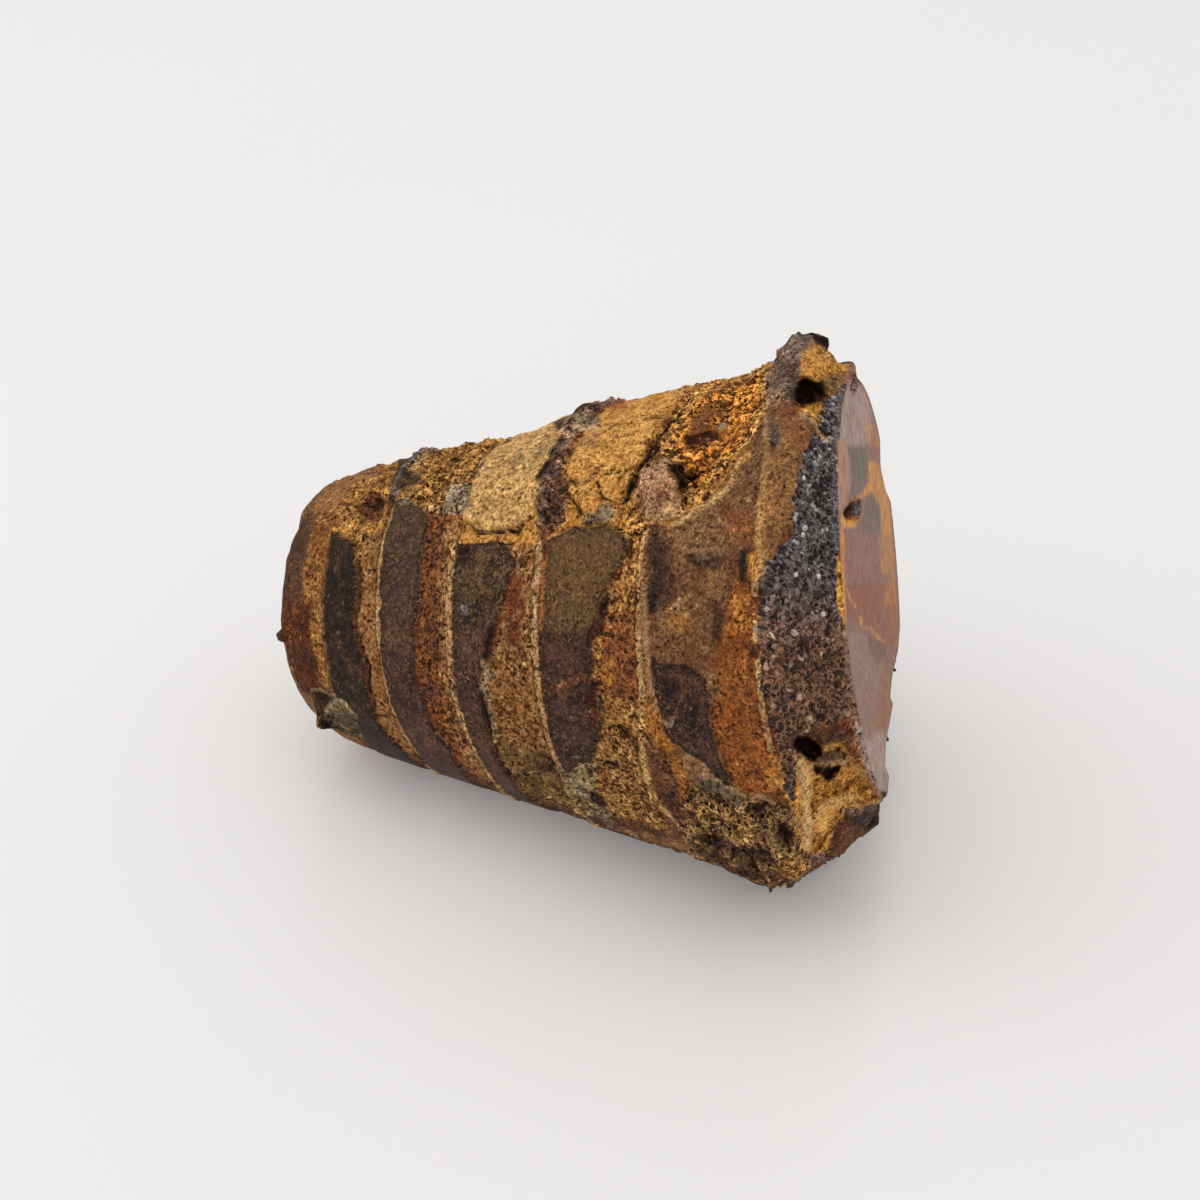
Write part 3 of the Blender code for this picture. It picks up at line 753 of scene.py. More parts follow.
# Where a skin has an upper and a lower zone, the upper is olive and the lower purple: the olive is
# partly a painted sheen of the light from above.
SKINS: tuple[Zone, ...] = (
    Zone("skin_1", T.SLATE, T.SLATE_DARK, "2.5,31 2.9,31 3.3,34.5 4.1,35.5 4.35,40 4.6,43 4.9,50 "
         "5,57 4.9,66 5.1,72 5.3,78 5.5,80 5.3,87 5.3,95 5.1,101 5.4,110 5.8,118 5.6,150 5.2,185 "
         "3.6,190 3.2,150 3.4,118 3.4,106 3,100 2.85,95 2.9,85 2.75,75 2.85,60 2.75,45 2.7,36",
         rise=0.09, ragged=0.22, gain=0.46),
    Zone("skin_2", T.OLIVE, T.SLATE, "6.2,20.5 6.8,22.5 7.4,23.5 8.1,25 8.5,28 8.6,30.5 8.9,32 "
         "8.9,40 9,50 8.95,58 8.8,66 8.7,72 8.65,79 8.55,79 6.62,79 6.6,75 6.5,60 6.35,45 6.25,30",
         rise=0.1, ragged=0.24, gain=0.76),
    Zone("skin_2_low", T.PURPLE, T.PURPLE_DARK, "6.6,66 8.7,72 8.4,79 8.75,82 8.9,88 8.9,95 9,103 "
         "9.5,108 9.3,116 9.2,140 8.6,170 8.9,205 6.5,210 6.7,160 6.95,118 6.75,105 6.65,90",
         rise=0.1, ragged=0.24),
    Zone("skin_3", T.OLIVE, T.SLATE_DARK, "11,41 11.6,40 12.3,40.5 13.2,40.5 13.8,41.5 14.3,44 "
         "14.7,47 14.3,50 14.2,55 14,60 13.8,64 13.4,69 13,71 11.05,63 11,60", rise=0.11,
         ragged=0.24, gain=0.92),
    Zone("skin_3_low", T.PURPLE, T.PURPLE_DARK, "11,60 13.4,66 13.2,73 12.8,76 12.7,80 12.6,85 "
         "12.5,92 12.5,100 12.6,108 12.8,115 13,140 13.6,170 13,200 11.1,205 11.3,160 11.4,120 "
         "11.2,95 11.05,80", rise=0.1, ragged=0.24, gain=1.15),
    Zone("skin_4", T.LIGHT_OLIVE, T.OLIVE, "16.2,41 17,39 17.6,37.5 18.5,38.5 19.5,38 20.2,39 "
         "20.8,42 20.9,45 20.6,49 20,54 19.8,60 19.6,65 16.5,65 16.55,58 16.6,50 16.3,44",
         rise=0.11, ragged=0.24, gain=0.8),
    Zone("skin_4_low", T.PURPLE, T.SLATE_DARK, "16.2,64 19.6,64 19.3,70 19.4,76 19.8,80 19.6,85 "
         "19.2,88 18.8,92 18.3,97 18,99 17.6,100 17.2,101 16.8,105 16.4,103 16.3,95 16.3,80",
         rise=0.11, ragged=0.24, gain=0.92),
    Zone("skin_5_spot", T.DARK_UMBER, T.SLATE_DARK, "25.9,57 26.5,59 26.4,62.5 26,65 25.8,61",
         rise=0.04, ragged=0.15, gain=2),
    Zone("skin_5", T.PURPLE, T.SLATE_DARK, "22.5,67 23.2,69 24.5,68.5 25.5,71 25.8,75 25.6,79 "
         "25.8,85 26.1,90 26.4,94.5 25.9,94.5 25.3,92 24.9,90 24.1,88.5 23.4,86.5 22.8,84 22.9,80 "
         "22.6,75 22.5,70", rise=0.1, ragged=0.14, gain=0.72),
    Zone("skin_back_1", T.SLATE, T.SLATE_DARK, "3,232 4.8,228 5.2,260 5,292 3.2,296 2.8,262",
         rise=0.09),
    Zone("skin_back_2", T.OLIVE, T.SLATE, "6.5,240 8.2,236 8.8,262 8.6,300 8,318 6.6,322 6.2,280",
         rise=0.1),
    Zone("skin_back_3", T.PURPLE, T.SLATE_DARK, "11,226 13.2,222 14.3,250 13.6,285 14.2,316 "
         "12.2,326 10.7,318 10.9,270", rise=0.1),
    Zone("skin_back_4", T.PURPLE, T.PURPLE_DARK, "15.8,138 18.6,134 19.3,160 18.2,196 18.8,214 "
         "16.2,218 15.7,180", rise=0.1),
    Zone("skin_back_5", T.OLIVE, T.SLATE, "15.4,236 18.8,232 19.4,262 18.6,296 17,312 15.2,306 "
         "15.2,270", rise=0.1),
    Zone("skin_back_6", T.PURPLE, T.SLATE_DARK, "21.4,146 24.2,142 25,172 24,208 21.6,212 21,180",
         rise=0.1),
    Zone("skin_back_7", T.SLATE, T.SLATE_DARK, "20.9,230 23.6,226 24.6,256 24,290 22,300 20.6,284",
         rise=0.1),
)


@dataclass(frozen=True)
class Trace:
    """A line on the surface: a pale ridge where rise is positive, a crack where it is negative."""

    places: tuple[Place, ...]
    width: float
    rise: float
    reach: float = 1.5

    def distance(self, u: Array, angle: Array) -> Array:
        """Distance to the line.

        Args:
            u: Distances along the axis.
            angle: Angles in degrees.
        Returns:
            Millimetres, at most the reach.
        """
        return line_distance(*unrolled(self.places, u, angle, FORM), self.reach)


RIDGES: tuple[Trace, ...] = (
    Trace(trail("6.2,20 6.2,30 6.3,45 6.45,60 6.55,75 6.6,90 6.7,105 6.85,118"), 0.18, 0.1),
    Trace(trail("10.35,-8 10.4,0 10.45,12 10.5,19"), 0.16, 0.09),
    Trace(trail("10.8,40 10.8,56 10.85,70 10.9,84 11.05,98 11.2,106 11.2,120"), 0.19, 0.12),
    Trace(trail("15.9,42 15.95,56 16,66 16.05,80 16.15,95 16.25,106 16.2,119"), 0.17, 0.13),
    Trace(trail("21.75,40 21.8,50 21.9,62 21.95,72 22,82"), 0.18, 0.11),
    Trace(trail("21.15,89 21.3,95 21.35,101 21.2,107"), 0.17, 0.12),
    Trace(trail("22.1,104 22.2,110 22.35,118"), 0.15, 0.09),
    Trace(trail("27.3,20 27.6,30 27.8,38 27.9,50 28.1,62 28.3,75 28.6,84"), 0.15, 0.1),
    Trace(trail("12.85,71 12.95,76 12.65,80 12.8,86 12.8,95 12.75,99"), 0.14, 0.1),
    Trace(trail("26.4,98.5 27.2,99.5 28.1,98 28.9,98.5"), 0.17, 0.11),
    Trace(trail("28.4,15 28.9,15.8 29.3,18"), 0.15, 0.11),
    Trace(ring_line(6.06, 128.0, 372.0), 0.17, 0.09),
    Trace(ring_line(10.47, 124.0, 344.0), 0.17, 0.1),
    Trace(ring_line(15.06, 122.0, 330.0), 0.17, 0.11),
    Trace(ring_line(20.92, 124.0, 352.0), 0.17, 0.11),
)

CRACKS: tuple[Trace, ...] = (
    Trace(trail("11.2,33 11.55,34.8 11.9,36.7 12.8,37.3 13.6,37.1 14.3,37.3 14.5,36 15,34"), 0.09,
          -0.26),
    Trace(trail("16.2,21 17.2,26 17.8,33 17.9,35"), 0.06, -0.14),
    Trace(trail("18,23.5 19.1,24.5 20.3,24"), 0.06, -0.12),
    Trace(trail("18.3,25 19,31 19.7,32.5"), 0.06, -0.12),
    Trace(trail("19.5,4 20.5,7 20.9,6.5"), 0.06, -0.12),
    Trace(trail("21.6,2 21.2,7 20.9,15 20.6,22 20.2,32"), 0.09, -0.2),
    Trace(trail("10.75,29 10.8,40 11.4,40.4 12.6,40.6 14.2,41 14.6,39"), 0.07, -0.14),
    Trace(trail("20,85.5 20.6,87.5 21,91"), 0.09, -0.22),
    Trace(trail("19.1,98.5 19.8,99.5"), 0.16, -0.18),
    Trace(trail("15.1,100 15.7,103 15.2,107"), 0.1, -0.2),
    Trace(trail("12.5,84 12.6,92 12.55,104 12.7,115"), 0.08, -0.12),
    Trace(trail("5,101 6,100.5"), 0.08, -0.12),
    Trace(trail("5.2,66 5.3,74 5.55,80 5.35,88 5.3,96"), 0.07, -0.09),
    Trace(trail("25.2,91.5 25.7,93 26.1,94.6"), 0.08, -0.12),
    Trace(trail("27,98 27.3,99.5 27.7,97.5"), 0.14, -0.2),
)


@dataclass(frozen=True)
class Sight:
    """Straight looks at the stone from one eye point."""

    azimuth: float = 21.0
    elevation: float = 32.0
    distance: float = 124.04
    target: Triple = (-0.2027, 0.3547, 10.66)

    def axes(self) -> Array:
        """Directions right, up and back towards the eye, one a row."""
        a, e = math.radians(self.azimuth), math.radians(self.elevation)
        back = np.array([math.sin(a) * math.cos(e), -math.cos(a) * math.cos(e), math.sin(e)])
        right = np.array([math.cos(a), math.sin(a), 0.0])
        return np.array([right, np.cross(back, right), back])

    def locate(self, points: Array) -> tuple[Array, Array, Array]:
        """Where points appear to the eye.

        Args:
            points: Points in millimetres.
        Returns:
            Millimetres across and up at the target's distance, and directions of sight.
        """
        right, upward, back = self.axes()
        ray = points - (np.array(self.target) + back * self.distance)
        scale = self.distance / -(ray @ back)
        away = ray / np.linalg.norm(ray, axis=1)[:, None]
        return ray @ right * scale, ray @ upward * scale, away


SIGHT = Sight()
VIEW_MIDDLE = 600.0
STEPS_PER_MM = 19.4


class Pane(Enum):
    """Windows in the line of sight that outlines are drawn in.

    A pane holds its steps to one step of the whole view, and how many of the view's steps its
    upper left corner is to the right of and below the view's own.
    """

    WHOLE = (1.0, 0.0, 0.0)
    POCKET = (4.8, 730.0, 700.0)
    SUMMIT = (5.3, 735.0, 325.0)
    NODULE = (5.0, 600.0, 430.0)
    FACE_HIGH = (5.0, 832.0, 380.0)
    FACE_LOW = (5.0, 832.0, 590.0)
    UPPER_LEFT = (7.0, 300.0, 440.0)
    LOW_EDGE = (7.0, 560.0, 700.0)
    PLATES = (7.0, 530.0, 390.0)
    CHAMBER = (7.0, 630.0, 500.0)
    LEFT_SKINS = (7.0, 290.0, 560.0)
    MIDDLE_SKINS = (7.0, 440.0, 540.0)
    CHIP = (8.0, 296.0, 640.0)
    FACE_SIDE = (5.2, 735.0, 320.0)
    POCKET_SIDE = (4.2, 690.0, 640.0)
    LAST_CHAMBER = (5.0, 610.0, 480.0)

    def places(self, outline: str) -> tuple[Place, ...]:
        """Turn an outline drawn in this pane into places across and up from the view's middle.

        Args:
            outline: Steps right and down from the pane's corner, as "x,y x,y".
        Returns:
            Places in millimetres.
        """
        zoom, left, top = self.value
        return tuple(((left + x / zoom - VIEW_MIDDLE) / STEPS_PER_MM,
                      (VIEW_MIDDLE - top - y / zoom) / STEPS_PER_MM) for x, y in trail(outline))


@dataclass(frozen=True)
class Mark:
    """A patch, or a line if it has a width."""

    name: str
    light: Tint
    dark: Tint
    outline: str
    depth: float = 0.0
    feather: float = 0.08
    width: float = 0.0
    strength: float = 1.0
    line_reach: float = 2.0
    patch_reach: float = 1.0


@dataclass(frozen=True)
class Sheet:
    """Marks drawn in one pane, on the sawn face or everywhere else."""

    pane: Pane
    marks: tuple[Mark, ...]
    on_face: bool = False

    def inside(self, mark: Mark, across: Array, upward: Array) -> Array:
        """Distance inside a patch or a line's width.

        Args:
            mark: One of the sheet's marks.
            across: Millimetres across.
            upward: Millimetres up.
        Returns:
            Millimetres, positive inside.
        """
        px, py = np.array(self.pane.places(mark.outline)).T
        if mark.width > 0.0:
            return mark.width - line_distance(across, upward, px, py, mark.line_reach)
        return loop_depth(across, upward, px, py, mark.patch_reach)


# Marks with a depth sink the surface. The holes among them are also painted near-black in PIT and
# SOOT: painted shade inside the holes.
SHEETS: tuple[Sheet, ...] = (
    Sheet(Pane.FACE_HIGH, (
        # The pale grey and lilac on the sawn face are partly a painted reflection of the pale
        # floor.
        Mark("face_top", T.FACE_GREY, T.FACE_BROWN, "60,90 100,0 200,0 230,150 225,300 180,330 "
             "110,320 60,310 50,200", feather=0.15),
        Mark("face_pink", T.FACE_PINK, T.LILAC, "20,290 130,320 130,400 140,520 120,600 100,640 "
             "60,660 20,500", feather=0.12),
        Mark("face_steel", T.FACE_STEEL, T.FACE_SHADE, "110,320 215,330 210,400 235,460 200,520 "
             "180,560 120,610 110,600 140,520 130,400"),
        Mark("face_steel_low", T.FACE_STEEL, T.FACE_SHADE, "205,590 235,560 275,620 285,760 "
             "230,775 150,750 190,680 205,640"),
        Mark("face_maroon", T.LILAC, T.MAROON, "90,740 285,770 285,900 310,1000 310,1120 110,1120 "
             "90,980 100,850", feather=0.1),
    ), on_face=True),
    Sheet(Pane.FACE_LOW, (
        Mark("face_red", T.BRICK, T.MAROON, "100,-30 310,-30 340,60 350,200 330,300 280,220 "
             "190,170 110,110", feather=0.12),
        Mark("face_middle", T.LILAC, T.FACE_BROWN, "40,190 200,210 270,230 300,340 285,560 "
             "250,760 170,740 120,600 70,420", feather=0.15),
        Mark("face_low", T.FACE_GREY, T.FACE_BROWN, "110,620 180,740 240,750 265,690 340,700 "
             "360,1000 240,1040 180,930 130,780", feather=0.12),
        Mark("face_mottle", T.UMBER, T.PURPLE_DARK, "230,200 290,230 305,320 270,370 235,300",
             feather=0.15, strength=0.6),
    ), on_face=True),
    Sheet(Pane.FACE_HIGH, (
        Mark("rim_orange_top", T.HOT_OCHRE, T.ORANGE, "190,200 260,240 290,330 220,330 195,270",
             strength=0.5),
        Mark("face_vein", T.HOT_OCHRE, T.ORANGE, "215,400 270,420 300,540 330,620 380,780 282,770 "
             "275,640 240,555 200,580 150,615 95,665 120,620 190,560 222,500"),
        Mark("face_orange_bed", T.HOT_OCHRE, T.OCHRE, "95,655 130,690 175,675 160,735 105,735 "
             "85,700"),
        Mark("face_hole", T.PIT, T.SOOT, "108,655 140,610 182,600 182,640 165,680 130,690 105,672",
             depth=0.5),
        Mark("rim_orange_right", T.HOT_OCHRE, T.ORANGE, "270,790 290,690 380,690 400,900 400,1120 "
             "292,1120 312,985 285,960 275,880", strength=0.65),
        Mark("rim_orange_left", T.HOT_OCHRE, T.ORANGE, "20,900 60,770 95,720 112,850 105,930 "
             "118,1030 112,1120 20,1120"),
    ), on_face=True),
    Sheet(Pane.FACE_LOW, (
        Mark("rim_orange_left_low", T.HOT_OCHRE, T.OCHRE, "20,-30 112,-30 105,100 85,215 60,190 "
             "20,60"),
        Mark("rim_orange_right_low", T.BRIGHT_ORANGE, T.ORANGE, "305,-30 400,-30 400,60 380,200 "
             "335,220 318,120", strength=0.65),
        Mark("face_wisp", T.HOT_OCHRE, T.BRICK, "185,130 198,180 240,190 280,240 300,250",
             width=0.07),
        Mark("face_wisp_2", T.HOT_OCHRE, T.BRICK, "120,0 135,40 165,80", width=0.06),
        Mark("rim_brown_right", T.BRIGHT_ORANGE, T.UMBER, "285,400 380,380 380,700 262,720 "
             "245,650 272,540", feather=0.1, strength=0.4),
    ), on_face=True),
    Sheet(Pane.FACE_HIGH, (
        Mark("face_notch", T.SOOT, T.SOOT, "118,-20 150,-20 150,35 135,55 122,20", depth=0.6),
    ), on_face=True),
    Sheet(Pane.FACE_LOW, (
        Mark("face_tip", T.SLATE, T.SOOT, "235,1005 300,1005 300,1040 225,1040"),
    ), on_face=True),
    Sheet(Pane.POCKET, (
        Mark("pocket", T.HOT_OCHRE, T.SHADE_OCHRE, "330,255 400,215 440,225 520,215 545,240 "
             "600,270 640,330 680,400 705,455 640,475 590,490 555,510 535,545 500,590 480,630 "
             "465,680 440,720 400,735 350,720 345,640 340,560 345,450 330,330", depth=0.9,
             feather=0.14),
        Mark("pocket_rust", T.RUST, T.DEEP_RUST, "530,200 600,215 640,250 645,310 655,350 620,320 "
             "575,270 545,235"),
        Mark("pocket_frame", T.UMBER, T.PURPLE_DARK, "405,150 480,140 560,150 610,180 620,215 "
             "560,205 520,205 470,215 435,230 420,200", feather=0.1),
        Mark("pocket_tooth", T.HOT_OCHRE, T.BRIGHT_OCHRE, "420,540 500,500 520,520 470,600 "
             "455,660 430,620", depth=0.6),
        Mark("pocket_rib", T.KHAKI, T.BRIGHT_OCHRE, "330,262 395,270 395,330 390,400 392,470 "
             "390,560 395,640 402,700 385,738 345,722 345,640 342,560 346,450 335,350", depth=0.15,
             feather=0.06),
        Mark("pocket_shelf", T.OLIVE, T.DARK_UMBER, "425,250 470,235 530,240 550,270 560,295 "
             "480,300 430,300 410,285", depth=0.45, feather=0.06),
        # The pocket's holes: carved deep and painted near-black, a painted shade.
        Mark("pocket_hole", T.PIT, T.SOOT, "318,188 370,175 405,200 435,228 435,255 405,262 "
             "402,290 370,280 345,252 320,245 308,215", depth=2.2, feather=0.07),
        Mark("pocket_hole_low", T.PIT, T.SOOT, "398,314 450,318 518,316 512,340 490,350 478,378 "
             "460,385 440,360 405,345", depth=1.9, feather=0.06),
        Mark("pocket_flake", T.BONE, T.CREAM, "395,298 430,307 480,305 530,300 565,300",
             depth=0.25, width=0.07),
        Mark("pocket_arch", T.KHAKI, T.OCHRE, "435,240 470,225 510,215 540,240 570,280 620,330 "
             "655,370 680,405 712,450", depth=-0.05, width=0.07),
        Mark("pocket_lip", T.HOT_OCHRE, T.BRIGHT_OCHRE, "750,455 700,462 640,478 590,492 555,512 "
             "530,550 500,590 480,630 462,660", depth=-0.1, width=0.08),
        Mark("wedge_steel", T.STEEL, T.SLATE_DARK, "555,520 620,496 700,476 730,496 730,602 "
             "660,602 600,592 560,572 538,548", feather=0.06),
        Mark("wedge_rust", T.UMBER, T.DEEP_RUST, "530,560 560,572 620,595 690,602 730,606 660,665 "
             "600,710 545,760 480,765 465,745 482,690 500,620", feather=0.06),
        Mark("under_pocket", T.LILAC, T.PURPLE_DARK, "365,745 440,720 460,760 430,790 380,800"),
        Mark("low_hole_a", T.DARK_UMBER, T.SOOT, "220,610 280,605 310,650 300,700 260,690 230,660",
             depth=0.5, feather=0.1),
        Mark("low_hole_b", T.DARK_UMBER, T.SOOT, "60,722 110,702 150,740 200,750 212,782 150,782 "
             "100,762", depth=0.45, feather=0.1),
        Mark("low_ledge", T.CREAM, T.SAGE, "0,420 60,470 120,480 150,460 190,500 230,550 290,570 "
             "335,600", depth=-0.14, width=0.13),
        Mark("low_ledge_2", T.CREAM, T.SAGE, "150,620 190,640 230,700 250,740", depth=-0.08,
             width=0.08),
        Mark("low_loop", T.CREAM, T.OLIVE, "90,500 110,490 150,505 170,535 150,560 110,550",
             depth=-0.08, width=0.07),
    )),
    Sheet(Pane.SUMMIT, (
        Mark("spur_black", T.STEEL, T.SEAM_DARK, "205,165 250,90 310,50 345,20 385,20 420,55 "
             "470,80 490,110 440,118 400,95 375,150 350,200 340,270 330,340 320,400 290,410 "
             "260,350 230,330 180,340 155,300 170,240", depth=-0.12, feather=0.12),
        Mark("summit_wall", T.HOT_OCHRE, T.SHADE_OCHRE, "400,95 440,118 490,130 540,170 600,225 "
             "560,260 520,260 480,270 440,290 400,280 370,250 350,200 380,150", depth=0.35,
             feather=0.12),
        Mark("summit_bead", T.STEEL, T.SOOT, "490,110 520,92 555,110 590,160 575,200 550,180 "
             "525,155 500,135", depth=-0.15, feather=0.08),
        Mark("summit_rubble", T.YELLOW_OCHRE, T.SOOT, "480,270 560,240 605,235 605,300 570,350 "
             "520,370 480,340 450,300", depth=0.1, feather=0.12),
        # The summit hole: carved deep and painted near-black, a painted shade.
        Mark("summit_hole", T.PIT, T.SOOT, "335,290 370,270 400,280 450,300 480,350 500,380 "
             "470,410 430,420 380,425 330,430 315,390 322,340", depth=1.7, feather=0.1),
        Mark("summit_floor", T.OCHRE, T.SHADE_OCHRE, "335,440 400,420 460,430 460,480 430,520 "
             "400,500 360,485 340,465", depth=0.5),
        Mark("summit_flake", T.BONE, T.CREAM, "350,483 390,495 420,530 440,570 490,612",
             depth=-0.1, width=0.09),
        Mark("spur_grey", T.SAGE, T.PURPLE, "150,480 200,460 240,520 240,600 200,650 170,700 "
             "150,640 140,560", feather=0.15, strength=0.8),
        Mark("spur_mark", T.SLATE, T.SOOT, "190,560 240,570 222,640 190,670 180,620", depth=0.1),
        Mark("tongue_rose", T.BRICK, T.UMBER, "200,460 260,410 300,420 340,480 400,540 400,600 "
             "360,650 330,620 260,600 240,520", feather=0.12, strength=0.8),
    )),
    Sheet(Pane.NODULE, (
        Mark("nodule_gap", T.PIT, T.SOOT, "380,180 410,170 430,210 480,220 500,200 522,190 "
             "502,240 470,270 440,280 430,310 440,350 418,365 402,310 385,260 340,205 350,190",
             depth=0.7, feather=0.07),
        Mark("nodule_gap_left", T.PIT, T.SOOT, "290,55 240,110 205,180 175,240 140,290 110,340 "
             "128,358 165,315 200,255 215,190 240,140 300,70", depth=0.3, feather=0.05),
        Mark("nodule_body", T.PALE_ROSE, T.UMBER, "180,250 220,200 260,190 310,180 345,215 "
             "385,265 410,330 400,390 370,430 310,455 260,450 225,425 195,400 165,350",
             feather=0.08),
        Mark("nodule_ring", T.PALE_ROSE, T.ROSE, "250,330 248,295 268,262 300,248 340,256 368,290 "
             "375,330 350,350", depth=-0.16, width=0.1),
        Mark("nodule_core", T.BRICK, T.PURPLE, "270,330 275,290 310,275 345,300 340,330 300,345",
             depth=0.1),
        Mark("nodule_white", T.PALE_CREAM, T.ROSE, "300,400 330,360 380,340 405,360 395,400 "
             "360,425 320,430", depth=-0.05),
        Mark("nodule_ledge", T.PALE_CREAM, T.OCHRE, "205,185 235,150 295,140 325,150 335,190",
             depth=-0.1, width=0.06),
        Mark("border_pale", T.PALE_CREAM, T.OCHRE, "225,462 290,468 350,478 400,462 440,432 "
             "500,402 540,380 580,340 625,315 655,270 665,220 685,180 705,150 745,130",
             depth=-0.08, width=0.08),
        Mark("border_dark", T.PIT, T.SOOT, "235,485 290,480", depth=0.15, width=0.1),
        Mark("strip_slate", T.SLATE, T.SLATE_DARK, "235,500 300,505 312,600 335,700 322,800 "
             "260,880 235,900 228,700", feather=0.12, strength=0.75),
        Mark("marks_dark", T.SLATE_DARK, T.SOOT, "430,625 520,630 600,618 612,648 560,660 480,682 "
             "430,660", feather=0.1, strength=0.7),
        Mark("mark_streak", T.PIT, T.SOOT, "700,590 725,600 730,700 705,790 690,700", feather=0.08,
             strength=0.8),
        Mark("patch_ochre", T.HOT_OCHRE, T.OCHRE, "745,620 800,610 805,700 800,740 760,750 "
             "740,700", feather=0.1, strength=0.9),
        Mark("seam_6_pale", T.CREAM, T.YELLOW_OCHRE, "830,0 838,120 830,210 818,330 802,420 "
             "798,560 800,620", depth=-0.06, feather=0.1, width=0.17),
        Mark("spur_low_grey", T.STEEL, T.DARK_UMBER, "820,0 900,0 905,60 870,70 840,40",
             feather=0.1, strength=0.8),
    )),
    Sheet(Pane.UPPER_LEFT, (
        Mark("dome_tan", T.TAN, T.UMBER, "215,290 330,225 440,195 560,190 600,200 540,245 440,262 "
             "330,270 260,300", feather=0.1),
        Mark("rust_pit", T.BRICK, T.PIT, "400,490 440,400 490,345 560,370 580,430 560,490 530,560 "
             "480,540 430,530", depth=0.22, feather=0.1),
        Mark("knob_1", T.SLATE, T.SOOT, "645,125 700,112 760,118 765,150 740,175 715,210 690,160",
             depth=-0.12),
        Mark("knob_2", T.SLATE, T.SOOT, "905,75 940,55 1000,55 1000,80 950,98 915,95", depth=-0.1),
        Mark("top_hole", T.PIT, T.SOOT, "1065,70 1090,65 1115,130 1100,165 1060,150 1058,110",
             depth=0.25),
        Mark("top_dark", T.SLATE, T.SOOT, "1300,25 1390,30 1380,60 1310,50"),
        Mark("top_dark_2", T.SLATE, T.SOOT, "1420,25 1480,8 1490,25 1430,45"),
        Mark("seam_beads", T.GREY_BROWN, T.SOOT, "700,205 660,250 655,320 640,400 625,470 612,530",
             depth=-0.06, width=0.14, strength=0.8),
        Mark("dark_grains", T.SLATE, T.SOOT, "700,230 760,215 830,240 840,290 790,330 740,360 "
             "700,340 690,280", feather=0.15, strength=0.7),
        Mark("pale_pad", T.PALE_SAGE, T.SAGE_DARK, "700,410 760,400 815,430 800,465 720,465",
             depth=-0.05),
        Mark("pale_grains", T.BONE, T.SAGE_DARK, "1030,330 1120,320 1200,400 1200,500 1100,500 "
             "1030,470 1010,400", feather=0.15, strength=0.75),
        Mark("plate_shadow", T.SAGE_DARK, T.SOOT, "1190,255 1235,205 1310,150 1320,172 1260,230 "
             "1215,305", depth=0.15),
        Mark("plate_grey", T.KHAKI, T.SAGE, "1440,190 1500,60 1620,10 1790,0 1760,120 1600,230 "
             "1480,240", feather=0.3, strength=0.6),
        Mark("skin_lip", T.PALE_SAGE, T.SOOT, "880,490 940,480 1010,500 1090,490 1140,495",
             width=0.08),
        Mark("rust_edge", T.RUST, T.DEEP_RUST, "95,520 170,480 240,500 230,600 180,680 150,800 "
             "120,950 60,1000 40,900 70,700", feather=0.2, strength=0.6),
    )),
    Sheet(Pane.LOW_EDGE, (
        Mark("arc_crack", T.PIT, T.SOOT, "360,190 420,195 470,245 520,310 548,370 565,450 580,510",
             depth=0.22, width=0.07),
        Mark("wedge_ridge", T.KHAKI, T.YELLOW_OCHRE, "560,0 568,100 556,250 562,330 582,430 "
             "612,530 642,640 682,740 752,810 832,890 905,960", depth=-0.1, width=0.1),
        Mark("purple_strip", T.UMBER, T.PURPLE_DARK, "610,250 690,330 780,440 830,560 850,680 "
             "870,800 840,880 760,790 690,720 650,620 620,500 605,380", feather=0.12,
             strength=0.85),
        Mark("ochre_strip", T.OCHRE, T.SHADE_OCHRE, "600,0 680,0 700,150 760,300 850,400 880,560 "
             "900,640 860,700 840,600 780,480 710,350 650,250 610,180", feather=0.1),
        Mark("sheet_rose", T.ROSE, T.UMBER, "800,330 880,370 1000,430 1080,530 1020,560 930,520 "
             "870,460", depth=-0.05),
        Mark("sheet_olive", T.SAGE, T.SAGE_DARK, "930,540 1080,540 1180,620 1300,700 1280,760 "
             "1200,710 1100,690 1000,640", depth=-0.05),
        Mark("sheet_rim", T.BONE, T.CREAM, "880,372 960,415 1020,462 1085,535 1160,590 1245,632 "
             "1310,690", depth=-0.08, width=0.05),
        Mark("sheet_gap", T.SOOT, T.SOOT, "1090,525 1140,560 1200,600", depth=0.2, width=0.08),
        Mark("round_hole", T.OLIVE, T.PIT, "1305,740 1350,710 1410,730 1445,790 1430,825 1380,825 "
             "1330,795", depth=0.3),
        Mark("round_rim", T.CREAM, T.SAGE, "1290,760 1300,715 1350,692 1420,715 1462,780 1450,835",
             depth=-0.08, width=0.07),
        Mark("low_hole_c", T.DARK_UMBER, T.SOOT, "1020,990 1090,968 1122,1010 1090,1042 1040,1030",
             depth=0.35),
        Mark("foot_purple", T.PURPLE, T.PURPLE_DARK, "960,1050 1080,1060 1250,1160 1500,1200 "
             "1640,1290 1560,1290 1300,1235 1180,1190 1080,1120", strength=0.85),
        Mark("foot_pale", T.PALE_SAGE, T.SAGE_DARK, "0,470 60,590 150,680 240,800 330,880 390,890 "
             "350,820 240,680 150,590 60,500", depth=-0.06, strength=0.85),
        Mark("foot_grey", T.GREY_BROWN, T.SOOT, "190,640 260,660 330,730 340,800 260,760 200,700",
             depth=0.1),
        Mark("foot_curl", T.PALE_SAGE, T.OLIVE, "130,540 110,490 150,450 220,455 270,500 230,560 "
             "160,570", depth=-0.1, width=0.09),
        Mark("curl_hole", T.DARK_UMBER, T.SOOT, "180,480 240,485 235,530 190,530", depth=0.15),
        Mark("foot_rose", T.ROSE, T.UMBER, "390,890 520,930 700,960 880,980 900,1040 700,1030 "
             "520,980", feather=0.1, strength=0.8),
